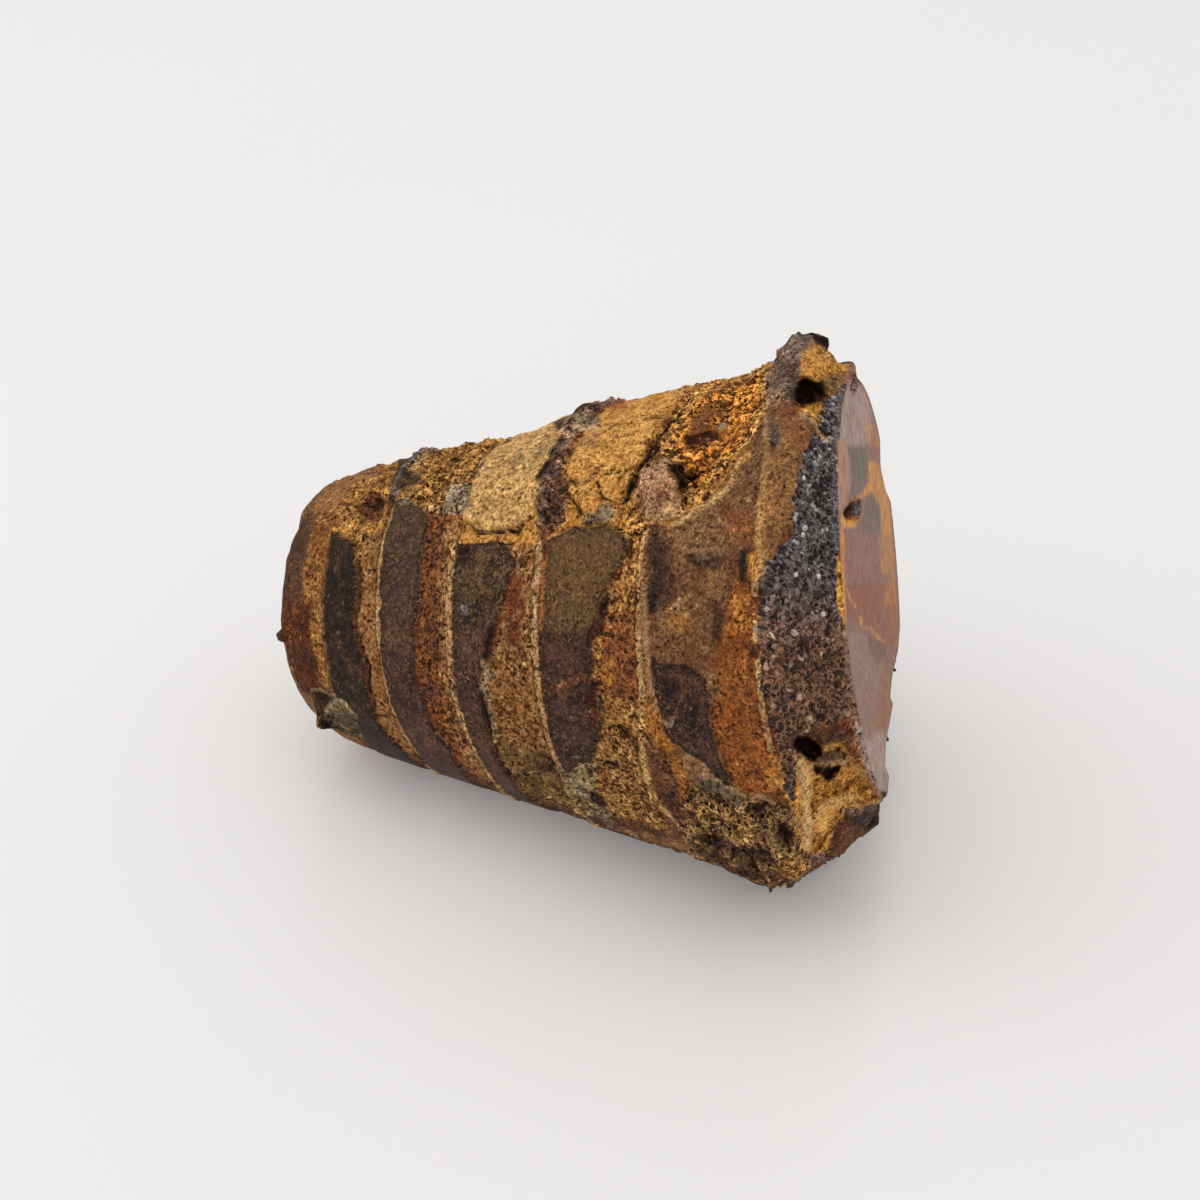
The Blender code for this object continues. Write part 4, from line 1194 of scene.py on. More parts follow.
        Mark("pale_patch", T.PALE_SAGE, T.SAGE_DARK, "730,130 790,90 830,110 820,190 760,190",
             feather=0.12, strength=0.7),
        Mark("band_rust", T.RUST, T.DEEP_RUST, "1300,440 1360,430 1420,520 1420,560 1350,540",
             feather=0.12, strength=0.7),
        Mark("band_edge", T.SOOT, T.SOOT, "1060,0 1050,60 1070,150 1090,260 1120,360 1170,470",
             width=0.06, strength=0.8),
        Mark("band_ochre", T.HOT_OCHRE, T.ORANGE, "1460,380 1490,420 1530,520 1550,620 1480,620 "
             "1440,540 1460,460", strength=0.8),
    )),
    Sheet(Pane.CHIP, (
        Mark("chip_block", T.SAGE, T.DARK_UMBER, "170,560 240,540 300,440 400,480 510,590 500,700 "
             "380,735 200,720", feather=0.08),
        Mark("chip_ridge", T.PALE_SAGE, T.SAGE, "220,590 290,510 330,470 400,490 450,560 500,590",
             depth=-0.08, width=0.09),
        Mark("chip_side", T.SLATE_DARK, T.SOOT, "165,570 215,565 225,610 250,670 345,705 200,720",
             depth=0.05, feather=0.05),
        Mark("chip_rim", T.PALE_SAGE, T.SAGE, "130,400 200,398 270,430 320,450", depth=-0.06,
             width=0.06),
        Mark("chip_pit", T.SLATE, T.SOOT, "155,425 215,430 290,460 265,500 225,560 165,550",
             depth=0.28, feather=0.05),
    )),
    Sheet(Pane.PLATES, (
        Mark("seam_knobs", T.SLATE, T.SOOT, "160,250 215,210 250,180 310,125 400,100 520,75 "
             "530,100 480,120 470,150 400,150 370,185 320,200 270,260 220,290 200,290",
             depth=-0.08),
        Mark("seam_pad", T.PALE_SAGE, T.SAGE_DARK, "300,270 350,210 450,190 490,220 480,245 "
             "400,250 350,265"),
        Mark("top_rust", T.BRIGHT_ORANGE, T.BRICK, "530,130 600,90 670,100 700,130 640,150 "
             "560,160", feather=0.12),
        Mark("top_edge", T.OLIVE, T.SOOT, "650,60 700,50 830,40 820,60 700,75"),
        Mark("seam_column", T.GREY_BROWN, T.SOOT, "200,330 190,400 150,500 110,560 80,640 100,700 "
             "60,760 40,850 60,900 110,920 180,940 250,850 240,780 160,720 260,700 290,640 "
             "220,580 200,520 250,480 290,430 210,390 240,340", strength=0.75),
        Mark("seam_crack", T.SOOT, T.SOOT, "170,440 150,520 100,570 60,640", depth=0.2,
             width=0.08),
        Mark("plate_rose", T.ROSE, T.TAN, "320,370 370,300 440,290 490,330 480,400 420,440 "
             "360,430", feather=0.15, strength=0.6),
        Mark("plate_lip", T.BONE, T.SAGE_DARK, "330,290 400,265 470,275 500,300", depth=-0.06,
             width=0.06),
        Mark("crack_a", T.PIT, T.SOOT, "840,205 900,200 960,180 1000,185", depth=0.15, width=0.05),
        Mark("crack_b", T.SHADE_OCHRE, T.SOOT, "1000,190 970,240 930,300 860,370 815,430 810,460 "
             "790,510 760,560 745,620 740,670", depth=0.25, width=0.07),
        Mark("crack_c", T.PIT, T.SOOT, "440,640 430,600 470,580 530,590 580,565", depth=0.15,
             width=0.05),
        Mark("crack_d", T.SHADE_OCHRE, T.PIT, "470,660 500,720 520,760 545,780", depth=0.12,
             width=0.06),
        Mark("crack_e", T.PIT, T.SOOT, "290,640 350,660 380,665 430,630", depth=0.15, width=0.05),
        Mark("crack_f", T.DEEP_RUST, T.PIT, "270,730 300,770 345,840 350,880", depth=0.15,
             width=0.07),
        Mark("gash", T.PIT, T.SOOT, "650,770 680,730 710,690 740,650 735,690 700,740 680,775",
             depth=0.4, feather=0.05),
        Mark("creases", T.SHADE_OCHRE, T.PIT, "620,650 660,600 700,560 745,540", depth=0.15,
             width=0.06),
        Mark("sage_chip", T.PALE_SAGE, T.SAGE_DARK, "370,910 440,860 500,820 560,790 600,850 "
             "620,880 560,900 480,900 400,930", depth=-0.08),
        Mark("chip_line", T.SOOT, T.SOOT, "350,940 420,920 480,930 560,960 620,980", width=0.05),
        Mark("nodule_top", T.ROSE, T.UMBER, "790,540 800,490 840,470 920,480 940,520 900,530 "
             "830,560"),
        Mark("nodule_edge", T.BONE, T.CREAM, "940,480 950,520 960,560", depth=-0.08, width=0.06),
        Mark("crest_hollow", T.DEEP_RUST, T.PIT, "1080,340 1160,330 1230,290 1330,290 1340,330 "
             "1270,360 1180,360 1100,360", depth=0.3, feather=0.1),
        Mark("crest_lump", T.UMBER, T.RUST, "1150,160 1220,100 1290,140 1300,200 1240,280 "
             "1170,300 1100,310 1110,240", depth=-0.05, feather=0.12, strength=0.8),
        Mark("crest_grey", T.PALE_SAGE, T.SAGE_DARK, "1300,230 1370,200 1380,250 1310,280"),
        Mark("crest_pit", T.PIT, T.SOOT, "1040,600 1080,640 1150,580 1200,545 1240,540 1200,600 "
             "1170,650 1150,700 1100,660 1060,640", depth=0.5),
    )),
    Sheet(Pane.CHAMBER, (
        Mark("chamber_black", T.SOOT, T.SOOT, "130,590 180,600 200,660 190,740 160,800 130,780 "
             "120,680"),
        Mark("chamber_marks", T.SLATE_DARK, T.SOOT, "480,400 560,390 640,400 650,480 600,500 "
             "480,500 450,440", feather=0.25, strength=0.55),
        Mark("rosette", T.YELLOW_OCHRE, T.UMBER, "350,760 350,700 420,680 460,700 450,770 400,790",
             depth=-0.05, width=0.09),
        Mark("chamber_tan", T.YELLOW_OCHRE, T.TAN, "540,500 660,500 660,560 560,600", feather=0.1,
             strength=0.7),
        Mark("chamber_ochre", T.OCHRE, T.UMBER, "250,830 380,800 480,860 420,920 280,920",
             feather=0.15, strength=0.7),
        Mark("chamber_dark", T.SLATE_DARK, T.SOOT, "560,700 640,760 670,850 650,930 600,1010 "
             "590,1080 570,980 580,860", feather=0.2, strength=0.7),
        Mark("chamber_streak", T.SOOT, T.SOOT, "770,350 820,340 830,420 800,560 790,600 770,540 "
             "790,440", feather=0.14, strength=0.75),
        Mark("chamber_brick", T.BRICK, T.UMBER, "700,50 820,60 830,180 760,240 720,180",
             feather=0.15, strength=0.7),
        Mark("chamber_strip", T.KHAKI, T.OCHRE, "910,0 925,100 900,250 900,400 880,540",
             depth=-0.05, width=0.16, strength=0.8),
        Mark("chamber_right", T.TAN, T.UMBER, "960,50 1150,50 1150,220 1080,300 980,330 960,200",
             feather=0.12, strength=0.8),
        Mark("band_dot", T.SOOT, T.SOOT, "742,1055 762,1050 770,1070 755,1082", depth=0.2,
             feather=0.04),
        Mark("band_line", T.HOT_OCHRE, T.BRICK, "760,720 830,712 890,730", width=0.05),
        Mark("band_maroon", T.DEEP_RUST, T.PURPLE_DARK, "830,980 900,1020 900,1100 850,1120 "
             "860,1200 830,1260 860,1400 800,1390 820,1200", feather=0.1, strength=0.8),
        Mark("druse_rust", T.BRIGHT_ORANGE, T.RUST, "1220,960 1300,1000 1440,980 1440,1100 "
             "1380,1170 1300,1150 1220,1080", depth=-0.08, feather=0.3, strength=0.55),
    )),
    Sheet(Pane.LEFT_SKINS, (
        Mark("skin_1_edge", T.SOOT, T.SOOT, "470,0 490,120 490,300 460,480 500,600 545,720 "
             "550,850 580,960 600,1040", width=0.08, strength=0.9),
        Mark("skin_1_left", T.SAGE, T.SAGE_DARK, "260,0 235,150 215,350 240,550 270,750 290,900",
             depth=-0.05, width=0.05),
        Mark("skin_1_crack", T.SOOT, T.SOOT, "590,1075 650,1090 700,1085", depth=0.2, width=0.07),
        Mark("comb_a", T.DEEP_RUST, T.PIT, "960,490 1040,500", depth=0.15, width=0.07),
        Mark("comb_b", T.DEEP_RUST, T.PIT, "980,540 1060,545", depth=0.15, width=0.07),
        Mark("comb_c", T.PIT, T.SOOT, "1000,690 1040,715", depth=0.15, width=0.09),
        Mark("ridge_dots", T.PIT, T.SOOT, "1130,1010 1110,1060 1160,1090 1190,1130 1180,1170 "
             "1220,1210 1215,1270 1260,1300", depth=0.12, width=0.05, strength=0.8),
        Mark("skin_3_glints", T.GLINT, T.SOOT, "1170,330 1220,300 1260,330 1280,430 1240,400 "
             "1190,390", strength=0.9),
    )),
    Sheet(Pane.MIDDLE_SKINS, (
        Mark("skin_3_corner", T.SLATE_DARK, T.SOOT, "110,40 230,45 220,110 160,120 115,110"),
        Mark("skin_3_black", T.SLATE_DARK, T.SOOT, "420,560 400,640 370,740 340,850 300,820 "
             "320,700 340,600", feather=0.1),
        Mark("skin_3_chips", T.BONE, T.SAGE, "300,840 330,900 340,960 290,1010 320,1060 340,1120 "
             "360,1200 370,1300 400,1370", depth=-0.08, width=0.07),
        Mark("skin_3_gap", T.SOOT, T.SOOT, "250,960 290,1060 310,1150 350,1240", width=0.08),
        Mark("curl_a", T.PALE_CREAM, T.DEEP_RUST, "430,610 500,570 530,520 560,480", depth=-0.08,
             width=0.05),
        Mark("curl_b", T.PALE_CREAM, T.DEEP_RUST, "450,770 520,760 570,810 620,800 660,840",
             depth=-0.08, width=0.05),
        Mark("ridge_white", T.BONE, T.CREAM, "700,180 660,330 665,500 650,650", depth=-0.06,
             width=0.09),
        Mark("skin_4_black", T.SLATE_DARK, T.SOOT, "1140,380 1190,340 1200,400 1150,560 1130,640 "
             "1070,700 1080,780 1030,740 1040,640 1110,540", feather=0.08),
        Mark("skin_4_rust", T.BRICK, T.DEEP_RUST, "820,1000 900,940 1000,910 1060,950 1000,1000 "
             "900,1060 800,1080", feather=0.12, strength=0.75),
        Mark("skin_4_dark", T.SLATE_DARK, T.SOOT, "1060,950 1120,1000 1100,1100 1130,1200 "
             "1100,1300 1040,1250 1020,1100", feather=0.12, strength=0.8),
        Mark("band_4_chips", T.PALE_CREAM, T.OCHRE, "1180,390 1220,330 1290,240 1340,180",
             depth=-0.08, width=0.09),
        Mark("band_4_ochre", T.HOT_OCHRE, T.ORANGE, "1120,900 1180,820 1220,900 1200,1080 "
             "1150,1000", feather=0.1, strength=0.8),
        Mark("ridge_5", T.GREY_TAN, T.CREAM, "1420,200 1440,560 1450,800 1470,1000 1510,1200",
             depth=-0.05, width=0.12),
    )),
    Sheet(Pane.FACE_SIDE, (
        Mark("spur_warm", T.GREY_TAN, T.DEEP_RUST, "215,180 260,130 330,120 370,180 340,250 "
             "320,330 300,400 240,420 200,470 160,440 170,330 190,240", feather=0.25,
             strength=0.5),
        Mark("spur_line", T.CREAM, T.GREY_TAN, "150,640 160,540 150,440 175,350 185,280",
             depth=-0.05, width=0.06),
        Mark("summit_slab", T.BRIGHT_OCHRE, T.OCHRE, "375,150 420,130 470,160 520,200 590,245 "
             "540,270 480,240 420,260 380,300 350,250 350,190", feather=0.15, strength=0.75),
        Mark("summit_edge", T.KHAKI, T.CREAM, "400,135 460,150 520,195 590,245", depth=-0.06,
             width=0.07),
        Mark("summit_knobs", T.SLATE_DARK, T.SOOT, "370,60 440,60 500,90 530,120 570,180 565,215 "
             "520,195 470,155 420,125 385,115"),
        Mark("summit_gold", T.HOT_OCHRE, T.OCHRE, "340,455 400,440 455,450 440,490 420,530 "
             "380,500 340,480", strength=0.8),
    )),
    Sheet(Pane.POCKET_SIDE, (
        Mark("pocket_top", T.CREAM, T.BRIGHT_OCHRE, "560,465 600,455 630,450 650,490 720,560 "
             "790,650", depth=-0.08, width=0.07),
        Mark("pocket_pillar", T.PALE_CREAM, T.KHAKI, "457,485 470,560 482,640 488,720 492,790 "
             "500,860", depth=-0.08, width=0.15),
        Mark("pocket_shelf_line", T.PALE_CREAM, T.CREAM, "525,520 590,522 660,512", depth=-0.08,
             width=0.05),
        Mark("pocket_low_edge", T.KHAKI, T.BRIGHT_OCHRE, "790,650 720,670 655,690 625,740 592,790 "
             "577,840", depth=-0.08, width=0.07),
        Mark("pocket_bright", T.PALE_OCHRE, T.HOT_OCHRE, "520,700 580,660 640,640 700,650 640,700 "
             "590,760 560,820 530,780", feather=0.2, strength=0.6),
        Mark("wedge_dark", T.SLATE_DARK, T.SOOT, "660,720 720,700 785,690 790,740 785,780 720,770 "
             "660,760 640,740", feather=0.12, strength=0.8),
        Mark("wedge_brown", T.UMBER, T.DEEP_RUST, "600,800 640,760 720,780 780,785 740,820 "
             "680,860 620,900 590,880", feather=0.12, strength=0.8),
        # A dark band along the stone's underside by the floor: painted shade.
        Mark("under_dark", T.SLATE, T.SOOT, "0,850 60,860 140,900 260,890 340,930 380,990 "
             "420,1020 340,1020 240,1000 140,990 60,920", feather=0.15, strength=0.5),
        Mark("low_hollow", T.PIT, T.SOOT, "360,790 400,780 440,820 430,870 390,870 365,840",
             depth=0.25),
        Mark("low_twig", T.GREY_TAN, T.CREAM, "230,680 290,650 340,700 400,745 450,740",
             depth=-0.08, width=0.08),
        Mark("low_gold", T.BRIGHT_OCHRE, T.OCHRE, "370,940 430,930 480,950 450,990 400,1000 "
             "370,980", strength=0.8),
    )),
    Sheet(Pane.LAST_CHAMBER, (
        Mark("chamber_slate", T.SLATE, T.SLATE_DARK, "190,235 240,250 280,330 320,480 330,600 "
             "300,650 230,660 190,640 185,500 185,350", feather=0.25, strength=0.65),
        Mark("chamber_glow", T.BRIGHT_ORANGE, T.RUST, "580,180 660,160 720,200 720,300 640,330 "
             "590,260", feather=0.3, strength=0.5),
        Mark("chamber_curl", T.CREAM, T.GREY_TAN, "390,355 450,350 520,340 580,352", depth=-0.08,
             width=0.05),
        Mark("chamber_curl_2", T.PALE_SAGE, T.SLATE, "445,395 490,385 550,378", depth=-0.08,
             width=0.05),
        Mark("chamber_lump", T.TAN, T.UMBER, "480,490 560,480 575,540 520,580 480,550",
             depth=-0.05, feather=0.15, strength=0.6),
        Mark("chamber_vein", T.CREAM, T.GREY_TAN, "490,140 530,200 600,235", depth=-0.06,
             width=0.05),
        Mark("chamber_cross", T.CREAM, T.GREY_TAN, "650,90 720,98 790,95", depth=-0.05,
             width=0.04),
        Mark("chamber_curls_low", T.PALE_CREAM, T.UMBER, "340,640 345,595 400,580 440,605 430,650 "
             "390,670", depth=-0.06, width=0.05),
        Mark("band_ring", T.CREAM, T.PIT, "515,1030 525,995 560,990 570,1030 545,1060 515,1030",
             width=0.04),
        Mark("band_gold", T.HOT_OCHRE, T.BRIGHT_ORANGE, "620,560 700,700 700,760 650,760 600,660",
             feather=0.2, strength=0.5),
        Mark("band_shade", T.RUST, T.DEEP_RUST, "650,600 730,600 740,690 680,690", feather=0.15,
             strength=0.6),
    )),
)

RIM_EDGE = Pane.WHOLE.places(
    "868,386 870,392 875,410 880,436 880.5,468 886,492 894,508 901,536 904,552 902,600 "
    "901,616 898,650 892,676 890,698 893,704 890,720 886,742 885,766 889,776 888,790 887,796 "
    "880,801 879,824 866,834 843.5,854 826,861 820,867 803,877 790,884 771,886")

DRUSE = trail(
    "29.25,16 29.2,30 29.25,40 28.9,46 28.3,51 28.2,60 28.35,68 28.6,75 28.9,84 28.9,90 29.1,98 "
    "29.7,88 29.8,83 31,82 32.5,80 32.5,40 31.5,8 30.6,-12 28.9,-13 28.65,-5 28.6,0 29,8")
BACK_DRUSE = trail(
    "26.6,150 27.6,190 27.3,240 26.2,282 26.6,312 29.5,318 30,240 30,150")


def clear_selection() -> None:
    """Leave edit mode and deselect every object."""
    if bpy.context.object is not None and bpy.context.object.mode != "OBJECT":
        bpy.ops.object.mode_set(mode="OBJECT")
    bpy.ops.object.select_all(action="DESELECT")


@contextmanager
def editing() -> Iterator[None]:
    """Edit mode with all of the mesh selected."""
    bpy.ops.object.mode_set(mode="EDIT")
    bpy.ops.mesh.select_all(action="SELECT")
    yield
    bpy.ops.object.mode_set(mode="OBJECT")


def apply_modifier(piece: bpy.types.Object, kind: str, **settings: object) -> None:
    """Add one modifier to a piece and apply it.

    Args:
        piece: The object.
        kind: Modifier type.
        settings: Its properties.
    """
    clear_selection()
    piece.select_set(True)
    bpy.context.view_layer.objects.active = piece
    modifier = piece.modifiers.new(kind.lower(), kind)
    for key, value in settings.items():
        setattr(modifier, key, value)
    bpy.ops.object.modifier_apply(modifier=modifier.name)


def read_points(mesh: bpy.types.Mesh) -> Array:
    """Vertex places of a mesh, shape (n, 3)."""
    points = np.empty(len(mesh.vertices) * 3)
    mesh.vertices.foreach_get("co", points)
    return points.reshape(-1, 3)


def write_points(mesh: bpy.types.Mesh, points: Array) -> None:
    """Move a mesh's vertices."""
    mesh.vertices.foreach_set("co", points.astype(np.float32).ravel())
    mesh.update()


def read_normals(mesh: bpy.types.Mesh) -> Array:
    """Vertex normals of a mesh, shape (n, 3)."""
    normals = np.empty(len(mesh.vertices) * 3)
    mesh.vertex_normals.foreach_get("vector", normals)
    return normals.reshape(-1, 3)


@dataclass
class Survey:
    """Where each vertex of the stone lies and what kind of surface it is on."""

    points: Array
    normals: Array
    form: ShellForm
    u: Array = field(init=False)
    angle: Array = field(init=False)
    s: Array = field(init=False)
    radius: Array = field(init=False)
    sunk: Array = field(init=False)
    face: Array = field(init=False)
    inner: Array = field(init=False)
    face_from: float = -0.20
    face_to: float = -0.04
    wall_from: float = 0.8
    inner_from: float = 0.30
    inner_to: float = 0.75

    def __post_init__(self) -> None:
        """Work out every field from the points."""
        form = self.form
        self.u, self.angle, self.radius = form.locate(self.points)
        self.s = form.u_to_ring(self.u, self.angle)
        turn = np.radians(self.angle)
        bare = form.cone(self.u)
        wall = bare + form.swell(self.u, self.angle, bare)
        rim = np.clip(1.0 - np.maximum(self.s, 0.0) / form.round_length, 0.0, 1.0)
        wall -= form.round_drop * rim ** form.round_power
        wall = np.minimum(wall, form.shoulder_limit(self.u, turn))
        self.sunk = wall - self.radius
        self.face = ease(self.face_from, self.face_to, form.over_saw(self.points))
        on_wall = ease(0.0, self.wall_from, self.u) * (1.0 - self.face)
        self.inner = ease(self.inner_from, self.inner_to, self.sunk) * on_wall


@dataclass
class Coat:
    """Colours and masks painted on the stone's vertices."""

    light: Array
    dark: Array
    skin_light: Array
    skin_dark: Array
    skin: Array
    ridge: Array
    crack: Array
    druse: Array
    crumb: Array
    pits: Array
    height: Array
    relief: Array
    carve: Array

    def store(self, mesh: bpy.types.Mesh) -> None:
        """Keep what the finishes read on the mesh."""
        for name in ("skin", "ridge", "crack", "druse", "crumb", "pits", "height"):
            store_value(mesh, name, getattr(self, name))
        for name in ("light", "dark", "skin_light", "skin_dark"):
            store_colour(mesh, name, getattr(self, name))


@dataclass(frozen=True)
class Swell:
    """One repeatable noise: its widest swell in millimetres, its pattern and its layers."""

    span: float
    seed: int
    layers: int

    def at(self, points: Array) -> Array:
        """Its value at each point."""
        return Noise.fractal(points, self.span, self.seed, self.layers)


@dataclass(frozen=True)
class Painter:
    """Turns the outlines, ridges and cracks into relief and colour."""

    form: ShellForm
    rough: Swell = Swell(0.9, 5, 3)
    wander: Swell = Swell(2.2, 11, 2)
    lump: Swell = Swell(1.5, 21, 3)
    grain: Swell = Swell(0.55, 23, 2)
    crease: Swell = Swell(1.1, 31, 2)
    pit_span: float = 0.46
    pit_seed: int = 29
    base_light: Tint = Tint.RUST
    base_dark: Tint = Tint.DEEP_RUST
    base_rise: float = 0.0
    base_lumps: float = 0.08
    base_grain: float = 0.04
    base_pits: float = 0.04
    warp: float = 0.35
    skin_warp: float = 0.6
    skin_from: float = -0.04
    skin_to: float = 0.07
    skin_blend: float = 2.0
    far_out: float = -2.0
    druse_warp: float = 0.2
    wobble: float = 0.05
    fray: float = 0.05
    patch_fray: float = 3.0
    full_grain: float = 0.16
    full_pits: float = 0.12
    height_limit: float = 0.35
    crease_height: float = 2.2
    crease_sunk: float = 0.45
    lump_height: float = 1.1
    fold_height: float = 0.8
    grain_height: float = 1.25
    pit_depth: float = 1.3
    pit_wall: Place = (0.55, 0.10)
    pit_share: Place = (0.35, 0.6)
    skin_rise: float = 0.10
    skin_uneven: Place = (0.025, 0.012)
    facet_height: float = 0.16
    facet_sunk: float = 0.06
    facet_grain: float = 0.10
    pocket_uneven: Place = (0.16, 0.10)
    dome_uneven: Place = (0.10, 0.03)
    druse_edge: Place = (-0.1, 0.15)
    dome_edge: Place = (0.2, -0.4)
    most_inner: float = 0.4
    face_edge: Place = (-0.45, -0.10)
    seen_edge: Place = (-0.05, 0.15)
    bare_skin: float = -0.5
    bare_line: float = -1.0
    crumb_loss: float = 0.5

    def paint(self, survey: Survey) -> Coat:
        """Paint every vertex.

        Args:
            survey: The stone's vertices.
        Returns:
            Relief, colours and masks.
        """
        rough, wander = self.rough.at(survey.points), self.wander.at(survey.points)
        light, dark, fields = self._ground(survey, rough + self.warp * wander)
        skin, skin_light, skin_dark = self._skins(survey, rough + self.skin_warp * wander)
        ridge, ridge_rise = self._traces(RIDGES, survey, rough)
        crack, crack_rise = self._traces(CRACKS, survey, rough)
        druse = np.maximum(wall_depth(DRUSE, survey.u, survey.angle),
                           wall_depth(BACK_DRUSE, survey.u, survey.angle))
        druse = np.where(survey.inner > self.most_inner, self.far_out,
                         druse + self.druse_warp * rough)
        relief, height = self._relief(survey, fields, skin, druse)
        bare = 1.0 - ease(self.skin_from, self.skin_to, skin)
        relief += (ridge_rise * bare + crack_rise) * (1.0 - survey.inner)
        inner = survey.inner[:, None]
        light = mixed(light, Tint.BRIGHT_OCHRE.surface(), inner)
        dark = mixed(dark, Tint.SHADE_OCHRE.surface(), inner)
        crumb = np.clip(fields["grain"] / self.full_grain, 0.0, 1.0) * bare
        pits = np.clip(fields["pits"] / self.full_pits, 0.0, 1.0)
        coat = Coat(light, dark, skin_light, skin_dark, skin, ridge, crack, druse, crumb, pits,
                    height, relief, np.zeros(len(skin)))
        self._marks(survey, coat, rough + wander)
        return coat

    def _ground(self, survey: Survey, bend: Array) -> tuple[Array, Array, dict[str, Array]]:
        """Lay the ground zones over each other.

        Args:
            survey: The stone's vertices.
            bend: Noise that makes the edges ragged.
        Returns:
            Lighter and darker colour, and the painted rise, lumps, grain and pits.
        """
        count = len(survey.points)
        light = np.tile(self.base_light.surface(), (count, 1))
        dark = np.tile(self.base_dark.surface(), (count, 1))
        fields = {key: np.full(count, getattr(self, "base_" + key))
                  for key in ("rise", "lumps", "grain", "pits")}
        for zone in GROUND_ZONES:
            far = zone.inside(survey.u, survey.angle) + zone.ragged * bend
            weight = ease(-zone.feather, zone.feather, far) * zone.strength
            light = mixed(light, zone.light.surface() * zone.gain, weight[:, None])
            dark = mixed(dark, zone.dark.surface() * zone.gain, weight[:, None])
            for key, painted in fields.items():
                fields[key] = mixed(painted, getattr(zone, key), weight)
        return light, dark, fields

    def _skins(self, survey: Survey, bend: Array) -> tuple[Array, Array, Array]:
        """Spread the dark skins.

        Args:
            survey: The stone's vertices.
            bend: Noise that makes the edges ragged.
        Returns:
            Distance inside the nearest skin, and its lighter and darker colour.
        """
        count = len(survey.points)
        skin = np.full(count, self.far_out)
        total = np.full((count, 1), TINY)
        skin_light = np.tile(Tint.PURPLE.surface(), (count, 1)) * total
        skin_dark = np.tile(Tint.PURPLE_DARK.surface(), (count, 1)) * total
        for zone in SKINS:
            far = zone.inside(survey.u, survey.angle) + zone.ragged * bend
            weight = np.exp(self.skin_blend * np.clip(far, self.far_out, 1.0))[:, None]
            skin_light += zone.light.surface() * zone.gain * weight
            skin_dark += zone.dark.surface() * zone.gain * weight
            total += weight
            skin = np.maximum(skin, far)
        skin = np.where(survey.inner + survey.face > 0.5, self.far_out, skin)
        return skin, skin_light / total, skin_dark / total

    def _marks(self, survey: Survey, coat: Coat, bend: Array) -> None:
        """Lay the marks over the coat, in order.

        Args:
            survey: The stone's vertices.
            coat: What is painted so far.
            bend: Noise that frays the marks' edges.
        """
        on_face = ease(*self.face_edge, self.form.over_saw(survey.points))
        coat.light = mixed(coat.light, Tint.LILAC.surface(), on_face[:, None])
        coat.dark = mixed(coat.dark, Tint.MAROON.surface(), on_face[:, None])
        across, upward, away = SIGHT.locate(survey.points)
        seen = ease(*self.seen_edge, -np.sum(survey.normals * away, axis=1))
        for sheet in SHEETS:
            there = on_face if sheet.on_face else 1.0 - on_face
            for mark in sheet.marks:
                fine_edge = mark.width > 0.0 or sheet.on_face
                fray = self.fray if fine_edge else self.patch_fray * self.fray
                far = sheet.inside(mark, across, upward) + fray * bend
                weight = ease(-mark.feather, mark.feather, far) * seen * there
                kept = coat.carve if mark.width > 0.0 else coat.carve * (1.0 - weight)
                coat.carve = kept + mark.depth * weight
                weight = weight * mark.strength
                coat.light = mixed(coat.light, mark.light.surface(), weight[:, None])
                coat.dark = mixed(coat.dark, mark.dark.surface(), weight[:, None])
                coat.skin = mixed(coat.skin, np.minimum(coat.skin, self.bare_skin), weight)
                coat.druse = mixed(coat.druse, self.bare_line, weight)
                coat.ridge = mixed(coat.ridge, self.bare_line, weight)
                coat.crumb = coat.crumb * (1.0 - self.crumb_loss * weight)

    def _traces(self, traces: tuple[Trace, ...], survey: Survey,
                rough: Array) -> tuple[Array, Array]:
        """Ridges or cracks.

        Args:
            traces: The lines.
            survey: The stone's vertices.
            rough: Noise that bends the lines.
        Returns:
            Distance inside the nearest line's width, and the lines' relief.
        """
        best = np.full(len(survey.u), -1.0)
        rise = np.zeros(len(survey.u))
        for trace in traces:
            far = trace.distance(survey.u, survey.angle) + self.wobble * rough
            best = np.maximum(best, trace.width - far)
            height = trace.rise * np.exp(-(far / trace.width) ** 2)
            rise = np.where(np.abs(height) > np.abs(rise), height, rise)
        return best, rise

    def _relief(self, survey: Survey, fields: dict[str, Array], skin: Array,
                druse: Array) -> tuple[Array, Array]:
        """Height of the finished surface over the bare form.

        Args:
            survey: The stone's vertices.
            fields: Painted rise, lumps, grain and pits.
            skin: Distance inside the skins.
            druse: Distance inside the crystal crust.
        Returns:
            Millimetres along the normals, and the small relief alone.
        """
        points = survey.points
        lump, grain = self.lump.at(points), self.grain.at(points)
        crease = self.crease_height * np.abs(self.crease.at(points)) - self.crease_sunk
        near, following, mark = Noise.cells(points, self.pit_span, self.pit_seed)
        pit = ease(*self.pit_wall, near) * ease(*self.pit_share, mark)
        small = fields["lumps"] * (self.lump_height * lump + self.fold_height * crease)
        small = small + self.grain_height * fields["grain"] * grain
        small -= self.pit_depth * fields["pits"] * pit
        plateau = ease(self.skin_from, self.skin_to, skin)
        smooth = self.skin_rise + self.skin_uneven[0] * lump + self.skin_uneven[1] * grain
        facets = self.facet_height * (following - near) - self.facet_sunk
        facets = facets + self.facet_grain * grain
        pocket = self.pocket_uneven[0] * lump + self.pocket_uneven[1] * grain
        dome = fields["rise"] + self.dome_uneven[0] * lump + self.dome_uneven[1] * grain
        relief = mixed(fields["rise"] + small, smooth, plateau)
        relief = mixed(relief, facets, ease(*self.druse_edge, druse))
        relief = mixed(relief, pocket, survey.inner)
        relief = mixed(relief, dome, ease(*self.dome_edge, survey.u))
        height = small * (1.0 - plateau) * (1.0 - survey.inner)
        height = np.clip(height, -self.height_limit, self.height_limit)
        return relief * (1.0 - survey.face), height


